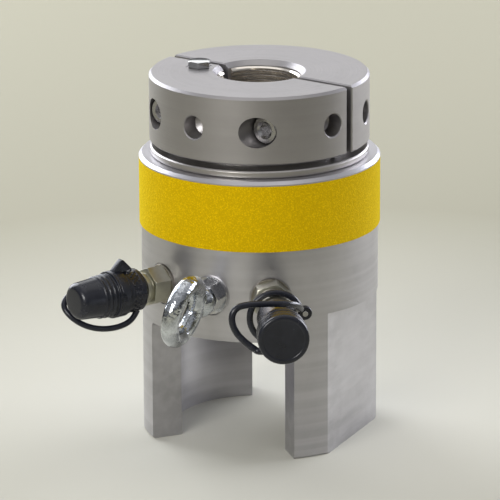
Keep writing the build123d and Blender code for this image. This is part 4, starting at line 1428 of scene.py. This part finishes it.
@dataclass(frozen=True)
class HangingRing:
    """Ring that hangs on the right barrel, moulded in one with the eyelet for the strap's rivet."""

    station: float = 32.7
    sag: float = 2.7
    radius: float = 15.75
    section: float = 2.0
    eyelet_reach: float = 18.0
    eyelet_angle: float = 8.0
    eyelet_radius: float = 4.3
    hole: float = 1.2
    voxel: float = 0.4

    def build(self, shop: Workshop) -> None:
        """Makes the ring.

        Args:
            shop: finishes the ring.
        """
        centre = RIGHT.place @ Matrix.Translation(Vector((0, -self.sag, self.station)) * MM)
        turn = math.radians(self.eyelet_angle)
        eyelet = Vector((math.cos(turn), math.sin(turn), 0)) * self.eyelet_reach * MM
        outline = [
            (self.hole, -self.section), (self.eyelet_radius, -self.section),
            (self.eyelet_radius, self.section), (self.hole, self.section),
        ]
        kit = MeshKit()
        kit.tube(circle(centre, self.radius, count=96), self.section, closed=True)
        kit.lathe(rounded(outline, radius=0.8), centre @ Matrix.Translation(eyelet), segments=40)
        piece = shop.shape("right_hanging_ring", kit, Finish.RUBBER)
        shop.fuse(piece, self.voxel, passes=3)
        shop.place(piece, "right_ring", Slot.RUBBER, "right_retaining_ring")


@dataclass(frozen=True)
class EyeBolt:
    """Drop-forged eye bolt whose ring, neck and collar run into each other with soft fillets."""

    shank_radius: float = 4.95
    shank_root: float = 4.2
    shank_end: float = -15.9
    tip_rim: float = 0.1
    thread_start: float = 0.4
    thread_pitch: float = 1.5
    crest_share: float = 0.4
    crest_width: float = 0.2
    overlap: float = 0.2
    collar_radius: float = 10.0
    collar_start: float = 14.6
    collar_end: float = 17.2
    neck_radius: float = 6.0
    neck_end: float = 20.6
    neck_top_radius: float = 4.6
    neck_top: float = 22.2
    ring_station: float = 38.4
    ring_radius: float = 17.5
    ring_section: float = 5.6
    ring_turn: float = 13.0
    voxel: float = 0.55

    def _forging(self, shop: Workshop) -> None:
        """Makes the collar, the neck and the ring as one smooth body.

        Args:
            shop: finishes the body.
        """
        outline = [
            (0.0, self.collar_start), (self.collar_radius, self.collar_start),
            (self.collar_radius, self.collar_end), (self.neck_radius, self.neck_end),
            (self.neck_top_radius, self.neck_top), (0.0, self.neck_top),
        ]
        middle = EYE.place @ Matrix.Translation(Vector((0, 0, self.ring_station)) * MM)
        spin = Matrix.Rotation(math.radians(-self.ring_turn), 4, "Z")
        upright = spin @ Matrix.Rotation(math.pi / 2, 4, "Y")
        kit = MeshKit()
        kit.lathe(rounded(outline, radius=0.6), EYE.place, segments=64)
        ring = circle(middle @ upright, self.ring_radius, count=96)
        kit.tube(ring, self.ring_section, segments=32, closed=True)
        piece = shop.shape("lifting_eye", kit, Finish.FORGED_ZINC)
        shop.fuse(piece, self.voxel, passes=4)
        shop.place(piece, "body", Slot.ZINC, "eye_bolt")

    def _shank(self, shop: Workshop) -> None:
        """Makes the threaded shank from the body to the forging's collar.

        Args:
            shop: finishes the shank.
        """
        root, radius = self.shank_root, self.shank_radius
        outline = [(0.0, self.shank_end), (root + self.tip_rim, self.shank_end)]
        station = self.shank_end + self.thread_start
        while station + self.thread_pitch < self.collar_start:
            crest = station + self.crest_share * self.thread_pitch
            outline += [(root, station), (radius, crest), (radius, crest + self.crest_width)]
            station += self.thread_pitch
        outline += [(root, self.collar_start), (0.0, self.collar_start + self.overlap)]
        kit = MeshKit()
        kit.lathe(outline, EYE.place, segments=48)
        piece = shop.shape("lifting_eye_shank", kit, Finish.BRIGHT_ZINC, smooth=30.0)
        shop.place(piece, "body", Slot.ZINC)

    def build(self, shop: Workshop) -> None:
        """Makes the forging and its shank."""
        self._forging(shop)
        self._shank(shop)


@dataclass(frozen=True)
class Softbox:
    """A soft studio light aimed at the tool; distances and sizes are metres."""

    name: str
    azimuth: float
    elevation: float
    distance: float
    size: Range
    watts: float
    colour: Point = (1.0, 1.0, 1.0)
    target: Point = (0.0, 0.0, 0.12)

    def build(self) -> None:
        """Makes the light."""
        data = bpy.data.lights.new(self.name, "AREA")
        data.shape = "RECTANGLE"
        data.size, data.size_y = self.size
        data.energy = self.watts
        data.color = self.colour
        reach = direction(self.azimuth, self.elevation) * self.distance
        aim(self.name, data, Vector(self.target), reach)


@dataclass(frozen=True)
class Studio:
    """Pale floor, even surroundings and soft lights; lengths are metres."""

    half_width: float = 6.0
    world_colour: Point = (0.95, 0.96, 1.0)
    horizon: float = 0.11
    zenith: float = 0.50
    sky: Range = (0.05, 0.6)
    lights: tuple[Softbox, ...] = (
        Softbox("left_strip", -116.0, 22.0, 2.1, (1.3, 1.8), 38.0, (0.90, 0.93, 1.0)),
        Softbox("right_strip", 149.0, 12.0, 2.4, (2.4, 1.0), 58.0, (0.88, 0.90, 1.0)),
        Softbox("overhead", 204.6, 88.0, 2.4, (2.4, 2.4), 12.0, (1.0, 0.99, 0.97)),
        Softbox("front", -6.0, 22.0, 2.2, (1.0, 0.6), 24.0, (1.0, 0.99, 0.97)),
        Softbox("back", -155.0, 30.0, 2.0, (1.4, 0.9), 5.2),
    )

    def build(self, materials: Materials) -> None:
        """Makes the floor, the world and the lights.

        Args:
            materials: holds the floor's paint.
        """
        half = self.half_width
        corners = [(-half, -half, 0.0), (half, -half, 0.0), (half, half, 0.0), (-half, half, 0.0)]
        mesh = bpy.data.meshes.new("studio_floor")
        mesh.from_pydata(corners, [], [tuple(range(len(corners)))])
        mesh.materials.append(materials[Finish.FLOOR])
        new_object("studio_floor", mesh)
        world = bpy.data.worlds.new("studio_world")
        bpy.context.scene.world = world
        world.use_nodes = True
        background = next(n for n in world.node_tree.nodes if n.type == "BACKGROUND")
        background.inputs["Color"].default_value = (*self.world_colour, 1.0)
        graph = Graph(world.node_tree)
        way = graph.node("ShaderNodeTexCoord").outputs["Generated"]
        level = graph.node("ShaderNodeSeparateXYZ", {"Vector": way}).outputs["Z"]
        graph.feed(background.inputs["Strength"], graph.remap(level, self.sky, (self.horizon, self.zenith)))
        for light in self.lights:
            light.build()
        bpy.context.scene.view_settings.view_transform = "Standard"


@dataclass(frozen=True)
class CadDressing:
    """Finishes of the CAD nodes, and soft edges on the metal ones."""

    smooth: float = 32.0
    weld: float = 0.01
    flat: float = 0.5
    segments: int = 2

    def _soften(self, node: bpy.types.Object, width: float) -> None:
        """Rounds a node's sharp edges and keeps the shading of the faces between them.

        Args:
            node: the CAD node, of which only the modifiers change.
            width: size of the rounding.
        """
        edges = node.modifiers.new("edges", "BEVEL")
        edges.width = width * MM
        edges.segments = self.segments
        edges.limit_method = "ANGLE"
        edges.angle_limit = math.radians(self.smooth)
        edges.harden_normals = True

    def build(self, nodes: dict[str, bpy.types.Object], shop: Workshop) -> None:
        """Dresses every node.

        Args:
            nodes: the frame's nodes by name.
            shop: where the materials and the smoothing tree are.
        """
        widths = {name: width for width, names in EDGE_WIDTHS.items() for name in names}
        for finish, names in FINISHED_NODES.items():
            for name in names:
                node = nodes[name]
                node.data.materials.clear()
                node.data.materials.append(shop.materials[finish])
                node.modifiers.new("weld", "WELD").merge_threshold = self.weld * MM
                if name in widths:
                    merged = node.modifiers.new("flat_faces", "DECIMATE")
                    merged.decimate_type = "DISSOLVE"
                    merged.angle_limit = math.radians(self.flat)
                shop.trees.apply(node, shop.trees.smoothing, Angle=math.radians(self.smooth))
                if name in widths:
                    self._soften(node, widths[name])
                LOG.info("%s is %s", name, finish.value)


def main() -> None:
    """Builds the scene."""
    logging.basicConfig(level=logging.INFO, format="%(name)s: %(message)s")
    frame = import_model()
    CameraPose().build()
    shop = Workshop(Materials(), GeometryTrees())
    for strap in (LEFT_STRAP, RIGHT_STRAP):
        strap.build(shop)
    CadDressing().build(frame["nodes"], shop)
    for piece in (CollarThread(), LongDustCap(), StuddedBand(), ShortDustCap(), HangingRing(), EyeBolt()):
        piece.build(shop)
    Studio().build(shop.materials)


if __name__ == "__main__":
    main()
